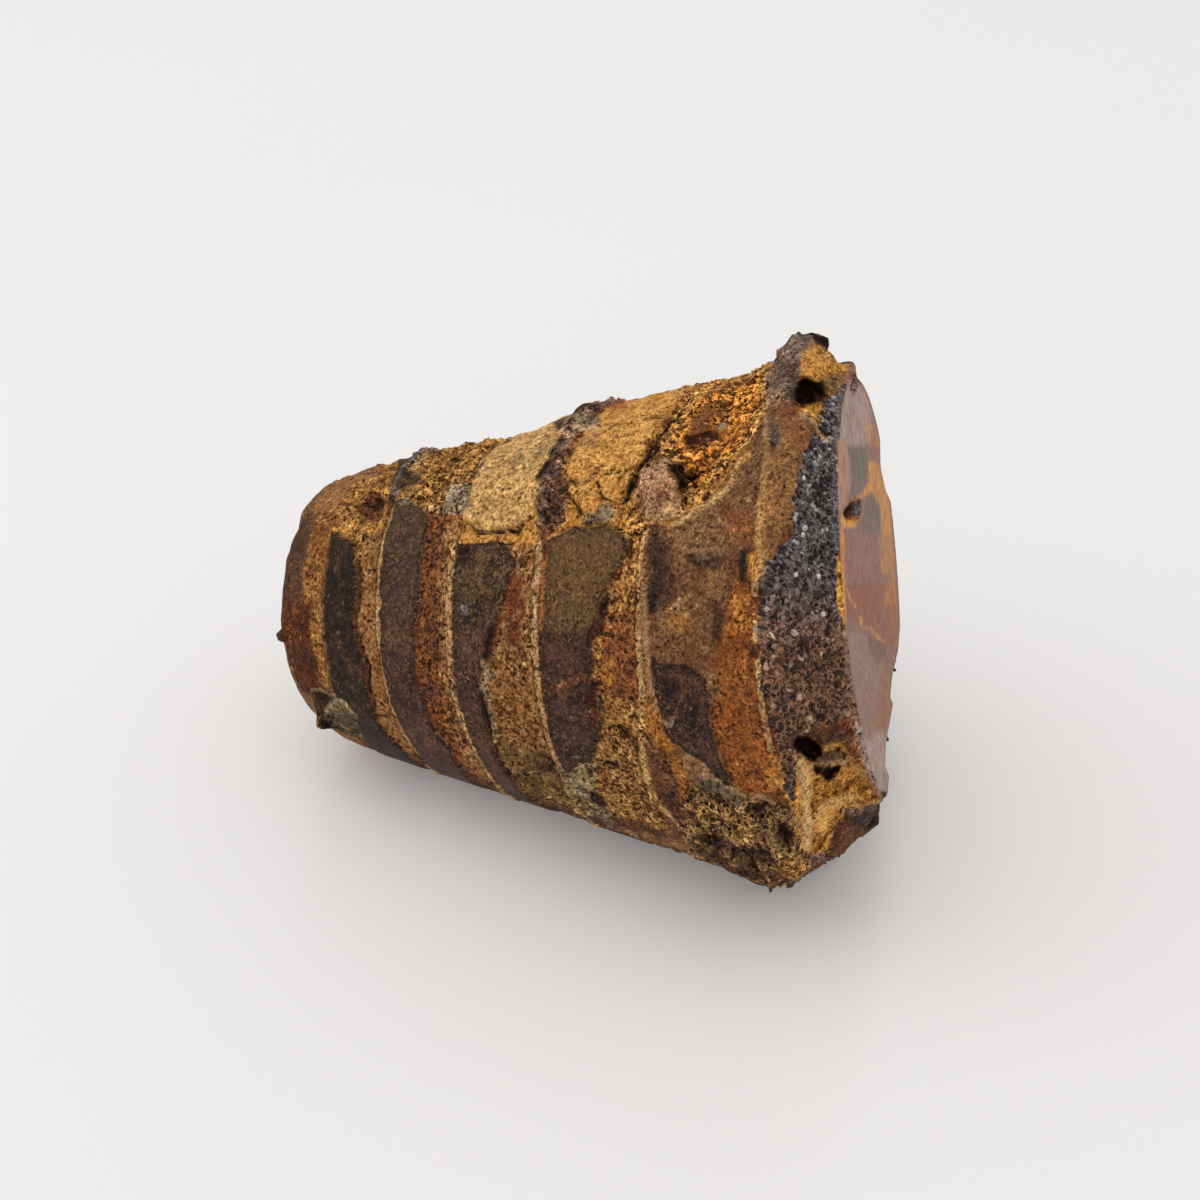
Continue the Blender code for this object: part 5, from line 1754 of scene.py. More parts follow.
# Each nodule's u, angle, height over the cone and half sizes along, around and outwards.
NODULES: tuple[tuple[float, float, float, Triple], ...] = (
    (22.25, 30.5, 0.15, (1.05, 1.10, 0.75)),
    (-0.42, 74.5, -0.42, (0.30, 0.34, 0.30)),
    (5.15, -17.0, -0.18, (0.42, 0.60, 0.30)),
    (7.30, -20.0, -0.55, (0.50, 0.42, 0.30)),
    (20.60, -21.0, -0.28, (0.65, 0.60, 0.30)),
    (14.60, -19.0, -0.08, (0.60, 1.00, 0.35)),
    (26.60, -21.0, 0.50, (0.75, 0.75, 0.50)),
    (27.50, -15.0, -0.32, (0.60, 0.65, 0.50)),
    (1.55, 103.0, -0.35, (0.65, 0.95, 0.45)),
    (3.10, 112.0, -0.34, (0.95, 0.90, 0.35)),
    (16.90, 245.0, 0.15, (0.80, 0.90, 0.60)),
    (28.05, -23.0, -1.15, (0.60, 0.75, 0.50)),
    (29.30, 146.0, -4.30, (0.60, 0.80, 0.55)),
    (24.30, -22.0, -0.22, (1.10, 0.80, 0.42)),
)

# Each pit's u, angle, depth under the cone, half sizes and twist in degrees.
PITS: tuple[tuple[float, float, float, Triple, float], ...] = (
    (28.25, 8.5, 0.30, (0.60, 0.85, 0.90), 15.0),
    (23.85, 25.5, 0.55, (0.40, 0.55, 0.80), 0.0),
    (21.50, 205.0, 0.05, (0.90, 1.20, 0.60), 25.0),
)


@dataclass
class StoneBody:
    """The whole stone: a leaning cone, domed at one end and sawn across at the other."""

    form: ShellForm = FORM
    segments: int = 132
    dome_rings: int = 14
    wall_rings: int = 92
    cap_rings: int = 18
    beyond_saw: float = 0.35
    voxel: float = 0.198
    ball_detail: int = 4
    ball_uneven: float = 0.22
    ball_grain: float = 0.9
    block_place: Place = (1.40, 112.8)
    block_half: Triple = (0.62, 0.47, 0.60)
    block_tilt: float = -0.10
    block_sunk: float = 0.35
    block_bevel: float = 0.12
    weld: float = 0.0005
    flat_within: float = 0.002
    sawn_faces: Array = field(default_factory=lambda: np.zeros(0, dtype=bool))

    def build(self) -> tuple[bpy.types.Object, Survey, Coat]:
        """Model, sculpt and paint the stone.

        Returns:
            The stone in millimetres, with the survey and paint of its vertices.
        """
        stone = self._turned_form()
        self._lumps(stone)
        apply_modifier(stone, "REMESH", mode="VOXEL", voxel_size=self.voxel)
        survey = Survey(read_points(stone.data), read_normals(stone.data), self.form)
        coat = Painter(self.form).paint(survey)
        points = survey.points + survey.normals * coat.relief[:, None]
        write_points(stone.data, self._broken(points, coat.carve))
        survey = Survey(read_points(stone.data), read_normals(stone.data), self.form)
        self._shade(stone.data)
        LOG.info("stone: %d vertices", len(stone.data.vertices))
        return stone, survey, coat

    def _turned_form(self) -> bpy.types.Object:
        """Cut a tube into rings and lay each ring on the form.

        Returns:
            The closed smooth body.
        """
        clear_selection()
        bpy.ops.mesh.primitive_cylinder_add(
            vertices=self.segments, radius=self.form.rim_radius, depth=1.0,
            end_fill_type="NOTHING")
        tube = bpy.context.object
        tube.name = "stone_body"
        edges = tube.data.edges
        heights = read_points(tube.data)[:, 2]
        bpy.ops.object.mode_set(mode="EDIT")
        bpy.ops.mesh.select_mode(type="EDGE")
        bpy.ops.mesh.select_all(action="DESELECT")
        bpy.ops.object.mode_set(mode="OBJECT")
        for edge in edges:
            low, high = edge.vertices
            edge.select = abs(heights[low] - heights[high]) > 0.5
        bpy.ops.object.mode_set(mode="EDIT")
        rings = self.dome_rings + self.wall_rings + self.cap_rings
        bpy.ops.mesh.subdivide(number_cuts=rings - 1)
        bpy.ops.object.mode_set(mode="OBJECT")
        points = read_points(tube.data)
        ring = np.rint((points[:, 2] + 0.5) * rings).astype(int)
        turn = np.arctan2(-points[:, 1], points[:, 0])
        write_points(tube.data, self._lay(ring, turn))
        with editing():
            bpy.ops.mesh.remove_doubles(threshold=self.weld)
            bpy.ops.mesh.normals_make_consistent(inside=False)
        return tube

    def _lay(self, ring: Array, turn: Array) -> Array:
        """Place of each vertex of the ringed tube.

        Args:
            ring: Which ring it is on, from the dome's tip.
            turn: Its angle in radians.
        Returns:
            Points, shape (n, 3).
        """
        form = self.form
        points = np.zeros((len(ring), 3))
        tip = ring < self.dome_rings
        points[tip] = form.dome(1.0 - ring[tip] / self.dome_rings, turn[tip])
        last = self.dome_rings + self.wall_rings
        wall = (ring >= self.dome_rings) & (ring <= last)
        end_u = form.saw_place(turn) + self.beyond_saw
        end_s = form.u_to_ring(end_u, np.degrees(turn))
        share = np.clip((ring - self.dome_rings) / self.wall_rings, 0.0, 1.0)
        points[wall] = form.wall((share * end_s)[wall], turn[wall])
        rim = form.wall(end_s, turn)
        centre = form.saw_centre() + form.saw_direction() * np.max(form.over_saw(rim))
        inward = np.clip((ring - last) / self.cap_rings, 0.0, 1.0)[:, None]
        points[ring > last] = mixed(rim, centre, inward)[ring > last]
        return points

    def _lumps(self, stone: bpy.types.Object) -> None:
        """Add the grown lumps and take out the broken pockets.

        Args:
            stone: The smooth body.
        """
        for k, (u, angle, depth, sizes, twist) in enumerate(PITS):
            ball = self._ball(f"pocket_{k}", u, angle, -depth, sizes, twist)
            apply_modifier(stone, "BOOLEAN", object=ball, operation="DIFFERENCE", solver="EXACT")
            bpy.data.objects.remove(ball)
        clear_selection()
        for k, (u, angle, height, sizes) in enumerate(NODULES):
            self._ball(f"nodule_{k}", u, angle, height, sizes, 0.0)
        self._block("nodule_block")
        for ball in bpy.context.scene.objects:
            if ball.name.startswith("nodule_"):
                ball.select_set(True)
        stone.select_set(True)
        bpy.context.view_layer.objects.active = stone
        bpy.ops.object.join()

    def _ball(self, name: str, u: float, angle: float, height: float,
              sizes: Triple, twist: float) -> bpy.types.Object:
        """One uneven ball seated on the wall.

        Args:
            name: Its name.
            u: Distance of its middle along the axis.
            angle: Angle of its middle.
            height: Height of its middle over the cone.
            sizes: Half sizes along, around and outwards.
            twist: Turn about its outward axis in degrees.
        Returns:
            The ball in millimetres.
        """
        clear_selection()
        bpy.ops.mesh.primitive_ico_sphere_add(subdivisions=self.ball_detail, radius=1.0)
        ball = bpy.context.object
        ball.name = name
        points = read_points(ball.data)
        seed = sum(ord(letter) for letter in name)
        points *= 1.0 + self.ball_uneven * Noise.fractal(points, self.ball_grain, seed, 2)[:, None]
        points *= np.array(sizes)
        turn = math.radians(angle)
        along, upward, side = self.form.axes()
        outward = math.cos(turn) * upward + math.sin(turn) * side
        around = np.cross(outward, along)
        twisted = math.radians(twist)
        first = math.cos(twisted) * along + math.sin(twisted) * around
        second = np.cross(outward, first)
        seat = self._seat(u, angle, height)
        write_points(ball.data, seat + points @ np.array([first, second, outward]))
        return ball

    def _block(self, name: str) -> bpy.types.Object:
        """The square chip that juts out low at the domed end.

        Args:
            name: Its name.
        Returns:
            The block in millimetres.
        """
        clear_selection()
        bpy.ops.mesh.primitive_cube_add(size=2.0)
        block = bpy.context.object
        block.name = name
        with editing():
            bpy.ops.mesh.bevel(offset=self.block_bevel, segments=1, affect="EDGES")
        right, upward, back = SIGHT.axes()
        cosine, sine = math.cos(self.block_tilt), math.sin(self.block_tilt)
        turned = np.array([cosine * right + sine * upward, cosine * upward - sine * right, back])
        seat = self._seat(*self.block_place, 0.0) - self.block_sunk * back
        points = read_points(block.data) * np.array(self.block_half)
        write_points(block.data, seat + points @ turned)
        return block

    def _seat(self, u: float, angle: float, height: float) -> Array:
        """The place at a height over the cone."""
        turn = np.array([math.radians(angle)])
        radius = np.array([float(self.form.cone(u)) + height])
        return self.form.place(np.array([u]), turn, radius)[0]

    def _broken(self, points: Array, carve: Array) -> Array:
        """Break out the pockets and cut the stone off at the saw plane and at the ground.

        Args:
            points: Sculpted vertices.
            carve: How deep each vertex is sunk.
        Returns:
            The same vertices, none beyond either plane.
        """
        normal = self.form.saw_direction()
        over = np.maximum(self.form.over_saw(points), 0.0)
        across, upward, away = SIGHT.locate(points)
        inward = np.where((over > 0.0)[:, None], -normal, away)
        points = points - over[:, None] * normal + inward * carve[:, None]
        rim_across, rim_up = np.array(RIM_EDGE)[::-1].T
        limit = np.interp(upward, rim_up, rim_across)
        across, upward, away = SIGHT.locate(points)
        points = points - np.maximum(across - limit, 0.0)[:, None] * SIGHT.axes()[0]
        over = np.maximum(self.form.over_saw(points), 0.0)
        points = points - over[:, None] * normal
        points[:, 2] = np.maximum(points[:, 2], 0.0)
        return points

    def _shade(self, mesh: bpy.types.Mesh) -> None:
        """Smooth shading, with a sharp edge round the sawn face.

        Args:
            mesh: The stone's mesh.
        """
        flat = np.abs(self.form.over_saw(read_points(mesh))) < self.flat_within
        count = len(mesh.polygons)
        mesh.polygons.foreach_set("use_smooth", np.ones(count, dtype=bool))
        ends = np.empty(len(mesh.edges) * 2, dtype=np.int64)
        mesh.edges.foreach_get("vertices", ends)
        loops = np.empty(len(mesh.loops), dtype=np.int64)
        mesh.loops.foreach_get("vertex_index", loops)
        starts = np.empty(count, dtype=np.int64)
        mesh.polygons.foreach_get("loop_start", starts)
        on_face = np.minimum.reduceat(flat[loops].astype(int), starts) > 0
        loop_edges = np.empty(len(mesh.loops), dtype=np.int64)
        mesh.loops.foreach_get("edge_index", loop_edges)
        owner = np.repeat(np.arange(count), np.diff(np.append(starts, len(loops))))
        low = np.ones(len(mesh.edges), dtype=int)
        high = np.zeros(len(mesh.edges), dtype=int)
        np.minimum.at(low, loop_edges, on_face[owner].astype(int))
        np.maximum.at(high, loop_edges, on_face[owner].astype(int))
        sharp = mesh.attributes.new("sharp_edge", "BOOLEAN", "EDGE")
        sharp.data.foreach_set("value", low != high)
        self.sawn_faces = on_face


def store_value(mesh: bpy.types.Mesh, name: str, values: Array) -> None:
    """Keep one number for each vertex."""
    layer = mesh.attributes.new(name, "FLOAT", "POINT")
    layer.data.foreach_set("value", values.astype(np.float32))


def store_colour(mesh: bpy.types.Mesh, name: str, values: Array) -> None:
    """Keep one colour for each vertex."""
    layer = mesh.color_attributes.new(name, "FLOAT_COLOR", "POINT")
    filled = np.concatenate([values, np.ones((len(values), 1))], axis=1)
    layer.data.foreach_set("color", filled.astype(np.float32).ravel())


def finish_piece(piece: bpy.types.Object, *materials: bpy.types.Material) -> None:
    """Bring a piece from millimetres to metres, dress it and enter it in the frame.

    Args:
        piece: The finished object in millimetres.
        materials: Its finishes.
    """
    piece.data.transform(Matrix.Scale(MM, 4))
    piece.data.materials.clear()
    for material in materials:
        piece.data.materials.append(material)
    piece.data.update()
    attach(piece, "root")
    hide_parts(CAD_NODE)
    LOG.info("%s: %d faces", piece.name, len(piece.data.polygons))


def scatter(points: Array, chosen: Array, gap: float, rng: np.random.Generator) -> Array:
    """Pick vertices that keep a gap to each other.

    Args:
        points: All places.
        chosen: Which of them may be picked.
        gap: Least distance between two picks.
        rng: Random source.
    Returns:
        Indices of the picks.
    """
    order = rng.permutation(np.nonzero(chosen)[0])
    taken: dict[tuple[int, int, int], list[int]] = {}
    picks: list[int] = []
    for index in order:
        cell = tuple(int(math.floor(value / gap)) for value in points[index])
        clear = True
        for step in np.ndindex(3, 3, 3):
            key = (cell[0] + step[0] - 1, cell[1] + step[1] - 1, cell[2] + step[2] - 1)
            clear = all(np.sum((points[other] - points[index]) ** 2) >= gap * gap
                        for other in taken.get(key, ()))
            if not clear:
                break
        if clear:
            taken.setdefault(cell, []).append(int(index))
            picks.append(int(index))
    return np.array(picks, dtype=int)


def random_turns(count: int, rng: np.random.Generator) -> Array:
    """Even random rotations.

    Args:
        count: How many.
        rng: Random source.
    Returns:
        Matrices, shape (count, 3, 3).
    """
    q = rng.normal(size=(count, 4))
    q /= np.linalg.norm(q, axis=1)[:, None]
    w, x, y, z = q.T
    rows = [1 - 2 * (y * y + z * z), 2 * (x * y - z * w), 2 * (x * z + y * w),
            2 * (x * y + z * w), 1 - 2 * (x * x + z * z), 2 * (y * z - x * w),
            2 * (x * z - y * w), 2 * (y * z + x * w), 1 - 2 * (x * x + y * y)]
    return np.stack(rows, axis=1).reshape(-1, 3, 3)


@dataclass(frozen=True)
class Scatter:
    """Many copies of one small shape fused on the stone."""

    name: str
    gap: float
    small: float
    large: float
    sunk: float
    seed: int
    flatness: float = 0.25
    bias: float = 1.0

    def build(self, survey: Survey, chosen: Array, light: Array,
              dark: Array) -> bpy.types.Object:
        """Copy the shape over the chosen vertices.

        Args:
            survey: The stone's vertices.
            chosen: Which vertices may carry a copy.
            light: Lighter colour of each vertex.
            dark: Darker colour of each vertex.
        Returns:
            One mesh of all copies, in millimetres.
        """
        rng = np.random.default_rng(self.seed)
        picks = scatter(survey.points, chosen, self.gap, rng)
        shape = self._shape()
        corners = read_points(shape.data)
        faces = [tuple(face.vertices) for face in shape.data.polygons]
        bpy.data.objects.remove(shape)
        count = len(picks)
        size = rng.uniform(self.small, self.large, count)
        stretch = 1.0 + rng.uniform(-self.flatness, self.flatness, (count, 3))
        turns = random_turns(count, rng)
        local = corners[None] * (size[:, None] * stretch)[:, None, :]
        placed = np.einsum("nij,nkj->nki", turns, local)
        seat = survey.points[picks] - survey.normals[picks] * (size * self.sunk)[:, None]
        placed += seat[:, None, :]
        step = len(corners)
        every = [tuple(v + k * step for v in face) for k in range(count) for face in faces]
        mesh = bpy.data.meshes.new(self.name)
        mesh.from_pydata(placed.reshape(-1, 3).tolist(), [], every)
        mesh.update()
        piece = bpy.data.objects.new(self.name, mesh)
        bpy.context.scene.collection.objects.link(piece)
        share = np.repeat(rng.random(count) ** self.bias, step)[:, None]
        tone = mixed(dark[picks].repeat(step, axis=0), light[picks].repeat(step, axis=0), share)
        store_colour(mesh, "tone", tone)
        store_value(mesh, "mark", np.repeat(rng.random(count), step))
        return piece

    def _shape(self) -> bpy.types.Object:
        """The shape that is copied."""
        raise NotImplementedError


@dataclass(frozen=True)
class CrystalCrust(Scatter):
    """Small blocky crystals."""

    bevel: float = 0.16
    lean: Place = (0.28, 0.16)

    def _shape(self) -> bpy.types.Object:
        """A leaning block with one corner cut back.

        Returns:
            The crystal, about one unit across.
        """
        clear_selection()
        bpy.ops.mesh.primitive_cube_add(size=1.0)
        block = bpy.context.object
        points = read_points(block.data)
        points[:, :2] += np.outer(points[:, 2], self.lean)
        write_points(block.data, points)
        with editing():
            bpy.ops.mesh.bevel(offset=self.bevel, segments=1, affect="EDGES")
        return block


@dataclass(frozen=True)
class Crumbs(Scatter):
    """Rounded crumbs of rust."""

    uneven: float = 0.75
    swell: float = 0.5

    def _shape(self) -> bpy.types.Object:
        """An uneven grain.

        Returns:
            The grain, about one unit across.
        """
        clear_selection()
        bpy.ops.mesh.primitive_ico_sphere_add(subdivisions=2, radius=0.5)
        grain = bpy.context.object
        points = read_points(grain.data)
        points *= 1.0 + self.uneven * Noise.smooth(points, self.swell, self.seed)[:, None]
        write_points(grain.data, points)
        return grain


@dataclass(frozen=True)
class Cloud:
    """What a cloudy noise is like."""

    scale: float
    layers: float
    finer: float
    stir: float = 0.0
    swing: float = 2.8


class Wire:
    """A shader socket that can be used in arithmetic."""

    def __init__(self, board: "NodeBoard", socket: bpy.types.NodeSocket) -> None:
        """Keep the board and the socket."""
        self.board = board
        self.socket = socket

    def __add__(self, other: "Wire | float") -> "Wire":
        """Sum."""
        return self.board.math("ADD", self, other)

    def __radd__(self, other: float) -> "Wire":
        """Sum with a number first."""
        return self.board.math("ADD", other, self)

    def __sub__(self, other: "Wire | float") -> "Wire":
        """Difference."""
        return self.board.math("SUBTRACT", self, other)

    def __rsub__(self, other: float) -> "Wire":
        """Number minus wire."""
        return self.board.math("SUBTRACT", other, self)

    def __mul__(self, other: "Wire | float") -> "Wire":
        """Product."""
        return self.board.math("MULTIPLY", self, other)

    def __rmul__(self, other: float) -> "Wire":
        """Product with a number first."""
        return self.board.math("MULTIPLY", other, self)

    def clamp(self) -> "Wire":
        """The value held between 0 and 1."""
        return self.board.math("ADD", self, 0.0, use_clamp=True)

    def ease(self, low: float, high: float) -> "Wire":
        """Smooth step from 0 at low to 1 at high.

        Args:
            low: Where it starts.
            high: Where it ends.
        Returns:
            The stepped value.
        """
        node = self.board.add("ShaderNodeMapRange", {"interpolation_type": "SMOOTHSTEP"},
                              {"Value": self, "From Min": low, "From Max": high})
        return Wire(self.board, node.outputs["Result"])


class NodeBoard:
    """One material's nodes."""

    def __init__(self, name: str) -> None:
        """Start a material with its shader and output."""
        self.material = bpy.data.materials.new(name)
        self.material.use_nodes = True
        self.tree = self.material.node_tree
        self.tree.nodes.clear()
        self.shader = self.add("ShaderNodeBsdfPrincipled", {}, {})
        self.add("ShaderNodeOutputMaterial", {}, {"Surface": self.shader.outputs["BSDF"]})
        place = self.add("ShaderNodeTexCoord", {}, {})
        scaled = self.add("ShaderNodeVectorMath", {"operation": "SCALE"},
                          {0: place.outputs["Object"], "Scale": 1.0 / MM})
        self.spot = scaled.outputs["Vector"]

    def add(self, kind: str, settings: dict[str, object],
            sockets: dict[object, object]) -> bpy.types.Node:
        """Add a node.

        Args:
            kind: Node type.
            settings: Properties, set first.
            sockets: Values, wires or sockets by input name or number.
        Returns:
            The node.
        """
        node = self.tree.nodes.new(kind)
        for key, value in settings.items():
            setattr(node, key, value)
        for key, value in sockets.items():
            self.link(node.inputs[key], value)
        return node

    def link(self, target: bpy.types.NodeSocket, value: object) -> None:
        """Feed one input with a wire, a socket or a value."""
        if isinstance(value, Wire):
            value = value.socket
        if isinstance(value, bpy.types.NodeSocket):
            self.tree.links.new(value, target)
        else:
            target.default_value = value

    def finish(self, colour: Wire, roughness: Wire | float, specular: float,
               normal: bpy.types.NodeSocket | None = None) -> bpy.types.Material:
        """Feed the shader.

        Args:
            colour: The surface's colour.
            roughness: How dull it is.
            specular: How strongly it reflects.
            normal: Its bumps, if it has any.
        Returns:
            The finished material.
        """
        self.link(self.shader.inputs["Base Color"], colour)
        self.link(self.shader.inputs["Roughness"], roughness)
        self.link(self.shader.inputs["Specular IOR Level"], specular)
        if normal is not None:
            self.link(self.shader.inputs["Normal"], normal)
        return self.material

    def math(self, operation: str, first: object, second: object,
             use_clamp: bool = False) -> Wire:
        """One sum on values.

        Args:
            operation: Which sum.
            first: Left side.
            second: Right side.
            use_clamp: Whether the result is held between 0 and 1.
        Returns:
            The result.
        """
        node = self.add("ShaderNodeMath", {"operation": operation, "use_clamp": use_clamp},
                        {0: first, 1: second})
        return Wire(self, node.outputs["Value"])

    def value(self, name: str) -> Wire:
        """A painted number."""
        node = self.add("ShaderNodeAttribute", {"attribute_name": name}, {})
        return Wire(self, node.outputs["Fac"])

    def colour(self, name: str) -> Wire:
        """A painted colour."""
        node = self.add("ShaderNodeAttribute", {"attribute_name": name}, {})
        return Wire(self, node.outputs["Color"])

    def noise(self, cloud: Cloud) -> Wire:
        """Cloudy noise centred on 0.

        Args:
            cloud: What it is like.
        Returns:
            Half its swing to either side at most.
        """
        node = self.add("ShaderNodeTexNoise", {}, {
            "Vector": self.spot, "Scale": cloud.scale, "Detail": cloud.layers,
            "Roughness": cloud.finer, "Distortion": cloud.stir})
        return (Wire(self, node.outputs["Fac"]) - 0.5) * cloud.swing

    def ridged(self, cloud: Cloud) -> Wire:
        """Noise as thin winding lines: 1 on a line, 0 away from it."""
        return (1.0 - self.math("ABSOLUTE", self.noise(cloud), 0.0)).clamp()

    def shine(self, colour: Wire, factor: Wire, least: float) -> Wire:
        """Brighten or darken a colour, but never below a least factor."""
        return self.scale(colour, self.math("MAXIMUM", factor, least))

    def cells(self, scale: float, stir: float) -> Wire:
        """Distance to scattered seeds, in stirred space.

        Args:
            scale: Seeds to a millimetre.
            stir: How far the space is stirred, in millimetres.
        Returns:
            The distance in cells.
        """
        swirl = self.add("ShaderNodeTexNoise", {}, {
            "Vector": self.spot, "Scale": scale, "Detail": 2.0, "Roughness": 0.6})
        moved = self.add("ShaderNodeVectorMath", {"operation": "MULTIPLY_ADD"}, {
            0: swirl.outputs["Color"], 1: (stir, stir, stir), 2: self.spot})
        node = self.add("ShaderNodeTexVoronoi", {"feature": "F1"},
                        {"Vector": moved.outputs["Vector"], "Scale": scale})
        return Wire(self, node.outputs["Distance"])

    def scale(self, colour: Wire, factor: Wire) -> Wire:
        """Brighten or darken a colour.

        Args:
            colour: The colour.
            factor: What it is multiplied by.
        Returns:
            The new colour.
        """
        node = self.add("ShaderNodeVectorMath", {"operation": "SCALE"},
                        {0: colour, "Scale": factor})
        return Wire(self, node.outputs["Vector"])

    def blend(self, share: object, first: object, second: object) -> Wire:
        """Mix two colours.

        Args:
            share: Share of the second.
            first: A colour or wire.
            second: A colour or wire.
        Returns:
            The mixed colour.
        """
        node = self.add("ShaderNodeMix", {"data_type": "RGBA", "blend_type": "MIX"},
                        {0: share, 6: paint_value(first), 7: paint_value(second)})
        return Wire(self, node.outputs[2])

    def bump(self, height: Wire, distance: float) -> bpy.types.NodeSocket:
        """A bump from a height.

        Args:
            height: Height from 0 to 1.
            distance: Its size in millimetres.
        Returns:
            The normal.
        """
        node = self.add("ShaderNodeBump", {}, {
            "Strength": 1.0, "Distance": distance * MM, "Height": height})
        return node.outputs["Normal"]


def add_up(shares: Shares, *wires: Wire) -> Wire:
    """Add up shares of wires.

    Args:
        shares: A share of each wire, after a plain number if there is one more share than wires.
        wires: The wires.
    Returns:
        Their sum.
    """
    terms = [share * wire for share, wire in zip(shares[len(shares) - len(wires):], wires)]
    if len(shares) > len(wires):
        terms.insert(0, shares[0])
    total = terms[0]
    for term in terms[1:]:
        total = total + term
    return total


def paint_value(colour: object) -> object:
    """Turn a tint into a socket's colour, and leave a wire as it is."""
    if isinstance(colour, Tint):
        return (*colour.surface().tolist(), 1.0)
    return colour


@dataclass(frozen=True)
class WeatheredStone:
    """Rust, ochre and dark skins on the stone's outside, with painted relief light and shade."""

    broad: Cloud = Cloud(0.75, 5.0, 0.62, 0.6)
    grain: Cloud = Cloud(2.7, 5.0, 0.62, 0.7)
    fine: Cloud = Cloud(8.0, 4.0, 0.65, 0.3)
    mottle: Cloud = Cloud(2.1, 4.0, 1.0, 0.5)
    speck: Cloud = Cloud(5.5, 1.0, 0.70, 0.3)
    curl: Cloud = Cloud(2.5, 2.5, 0.60, 1.3, 7.0)
    crevice: Cloud = Cloud(0.95, 4.0, 0.62, 1.1, 9.0)
    cluster: Cloud = Cloud(0.55, 4.0, 0.65, 0.9)
    cell_scale: float = 2.6
    cell_stir: float = 0.6
    bump: float = 0.36
    specular: float = 0.10
    druse_edge: Place = (-0.05, 0.10)
    crevice_patch: Shares = (0.35, 1.2)
    crevice_crumb: Shares = (0.12, 0.88)
    pit_edge: Place = (0.42, 0.16)
    rim_inner: Place = (0.30, 0.48)
    rim_outer: Place = (0.52, 0.75)
    skin_fray: Shares = (0.22, 0.16)
    skin_edge: Place = (-0.04, 0.04)
    holed: Shares = (0.25, 0.5, 0.4)
    low: Shares = (0.35, 0.20, 0.30, 0.5)
    low_crumb: Place = (0.25, 0.06)
    low_pit: Place = (0.55, 0.15)
    low_druse: Place = (0.7, 0.35)
    low_crevice: float = 0.65
    stirred: Shares = (0.70, 0.9)
    stirred_least: float = 0.35
    # The lit_ shares paint light and shade of the small relief into the ground's colour.
    lit_crumb: Shares = (0.7, 0.5)
    lit_fine: Shares = (0.65, 0.6)
    lit_curl: Shares = (0.55, 0.60)
    curl_middle: float = 0.25
    lit_start: float = 0.93
    lit_pit: Place = (0.40, 0.30)
    lit_crevice: float = 0.45
    least_lit: float = 0.12
    net_curl: Shares = (0.75, 0.9)
    net_fine: float = 0.5
    net_edge: Place = (0.50, 0.75)
    crust_shade: Shares = (0.07, 0.30)
    least_crust: float = 0.02
    # The coat_lit shares paint light and shade of the skins' fine relief.
    coat_lit: Shares = (1.0, 0.90, 0.80, 0.55)
    least_coat: float = 0.2
    dull: Shares = (0.80, 0.20)
    coat_dull: Shares = (0.46, 0.30, 0.2)
    coat_height: Shares = (0.25, 0.34, 0.3)
    bump_height: Shares = (0.5, 0.5)
    tone: Shares = (0.50, 0.85, 1.2, 2.2)
    stain_grain: float = 0.6
    stain_edge: Place = (0.12, 0.50)
    stain_share: float = 0.35
    # The peak_ values paint a highlight on the grain's tops.
    peak_height: float = 1.2
    peak_broad: float = 0.3
    peak_edge: Place = (0.28, 0.62)
    peak_share: float = 0.55
    shadow_outer: Place = (-0.20, -0.10)
    shadow_inner: Place = (-0.07, 0.0)
    shadow_share: Place = (0.50, 0.8)
    ridge_fray: Place = (0.10, 0.06)
    ridge_edge: Place = (-0.06, 0.05)
    ridge_pale: Shares = (0.45, 1.1, 0.6)
    ridge_share: Shares = (0.80, 0.6)
    # The hollow_ values paint shade in the hollows and pits.
    hollow_height: float = 0.9
    hollow_pits: float = 0.28
    hollow_crumb: float = 0.10
    hollow_edge: Place = (0.26, 0.52)
    hollow_share: float = 0.70
    skin_tone: Shares = (0.50, 1.1, 1.1, 1.2)
    warm_grain: float = 0.4
    warm_edge: Place = (0.10, 0.50)
    warm_share: float = 0.40
    chipped_rim: Place = (0.45, 0.05)
    chipped_share: float = 0.5
    chipped_edge: Place = (0.05, 0.45)
    # The next three values darken the skins just inside their edges: partly a painted shadow of
    # their raised step, partly dark grains.
    shaded_rim: Place = (0.50, 0.05)
    shaded_rim_fray: Place = (-0.45, 0.20)
    shaded_rim_share: float = 0.60
    black_grain: float = 0.7
    black_fine: float = 1.0
    black_chipped: float = 0.22
    black_edge: Place = (0.30, 0.50)
    black_share: float = 0.85
    dust: Shares = (0.6, 0.9, 0.18)
    dust_edge: Place = (0.34, 0.56)
    dust_share: float = 0.55
    crack_fray: float = 0.05
    crack_edge: Place = (-0.02, 0.04)
    crack_share: float = 0.9

    def build(self) -> bpy.types.Material:
        """Make the finish.

        Returns:
            The material.
        """
        board = NodeBoard("weathered_stone")
        broad, grain, fine = (board.noise(c) for c in (self.broad, self.grain, self.fine))
        mottle, speck = board.noise(self.mottle), board.noise(self.speck)
        curl = board.ridged(self.curl)
        crumb, druse = board.value("crumb").clamp(), board.value("druse").ease(*self.druse_edge)
        # Winding crevices: sunk in the bump and painted darker, a painted shade.
        crevice = board.ridged(self.crevice) * add_up(self.crevice_patch, broad).clamp()
        crevice = crevice * add_up(self.crevice_crumb, crumb)
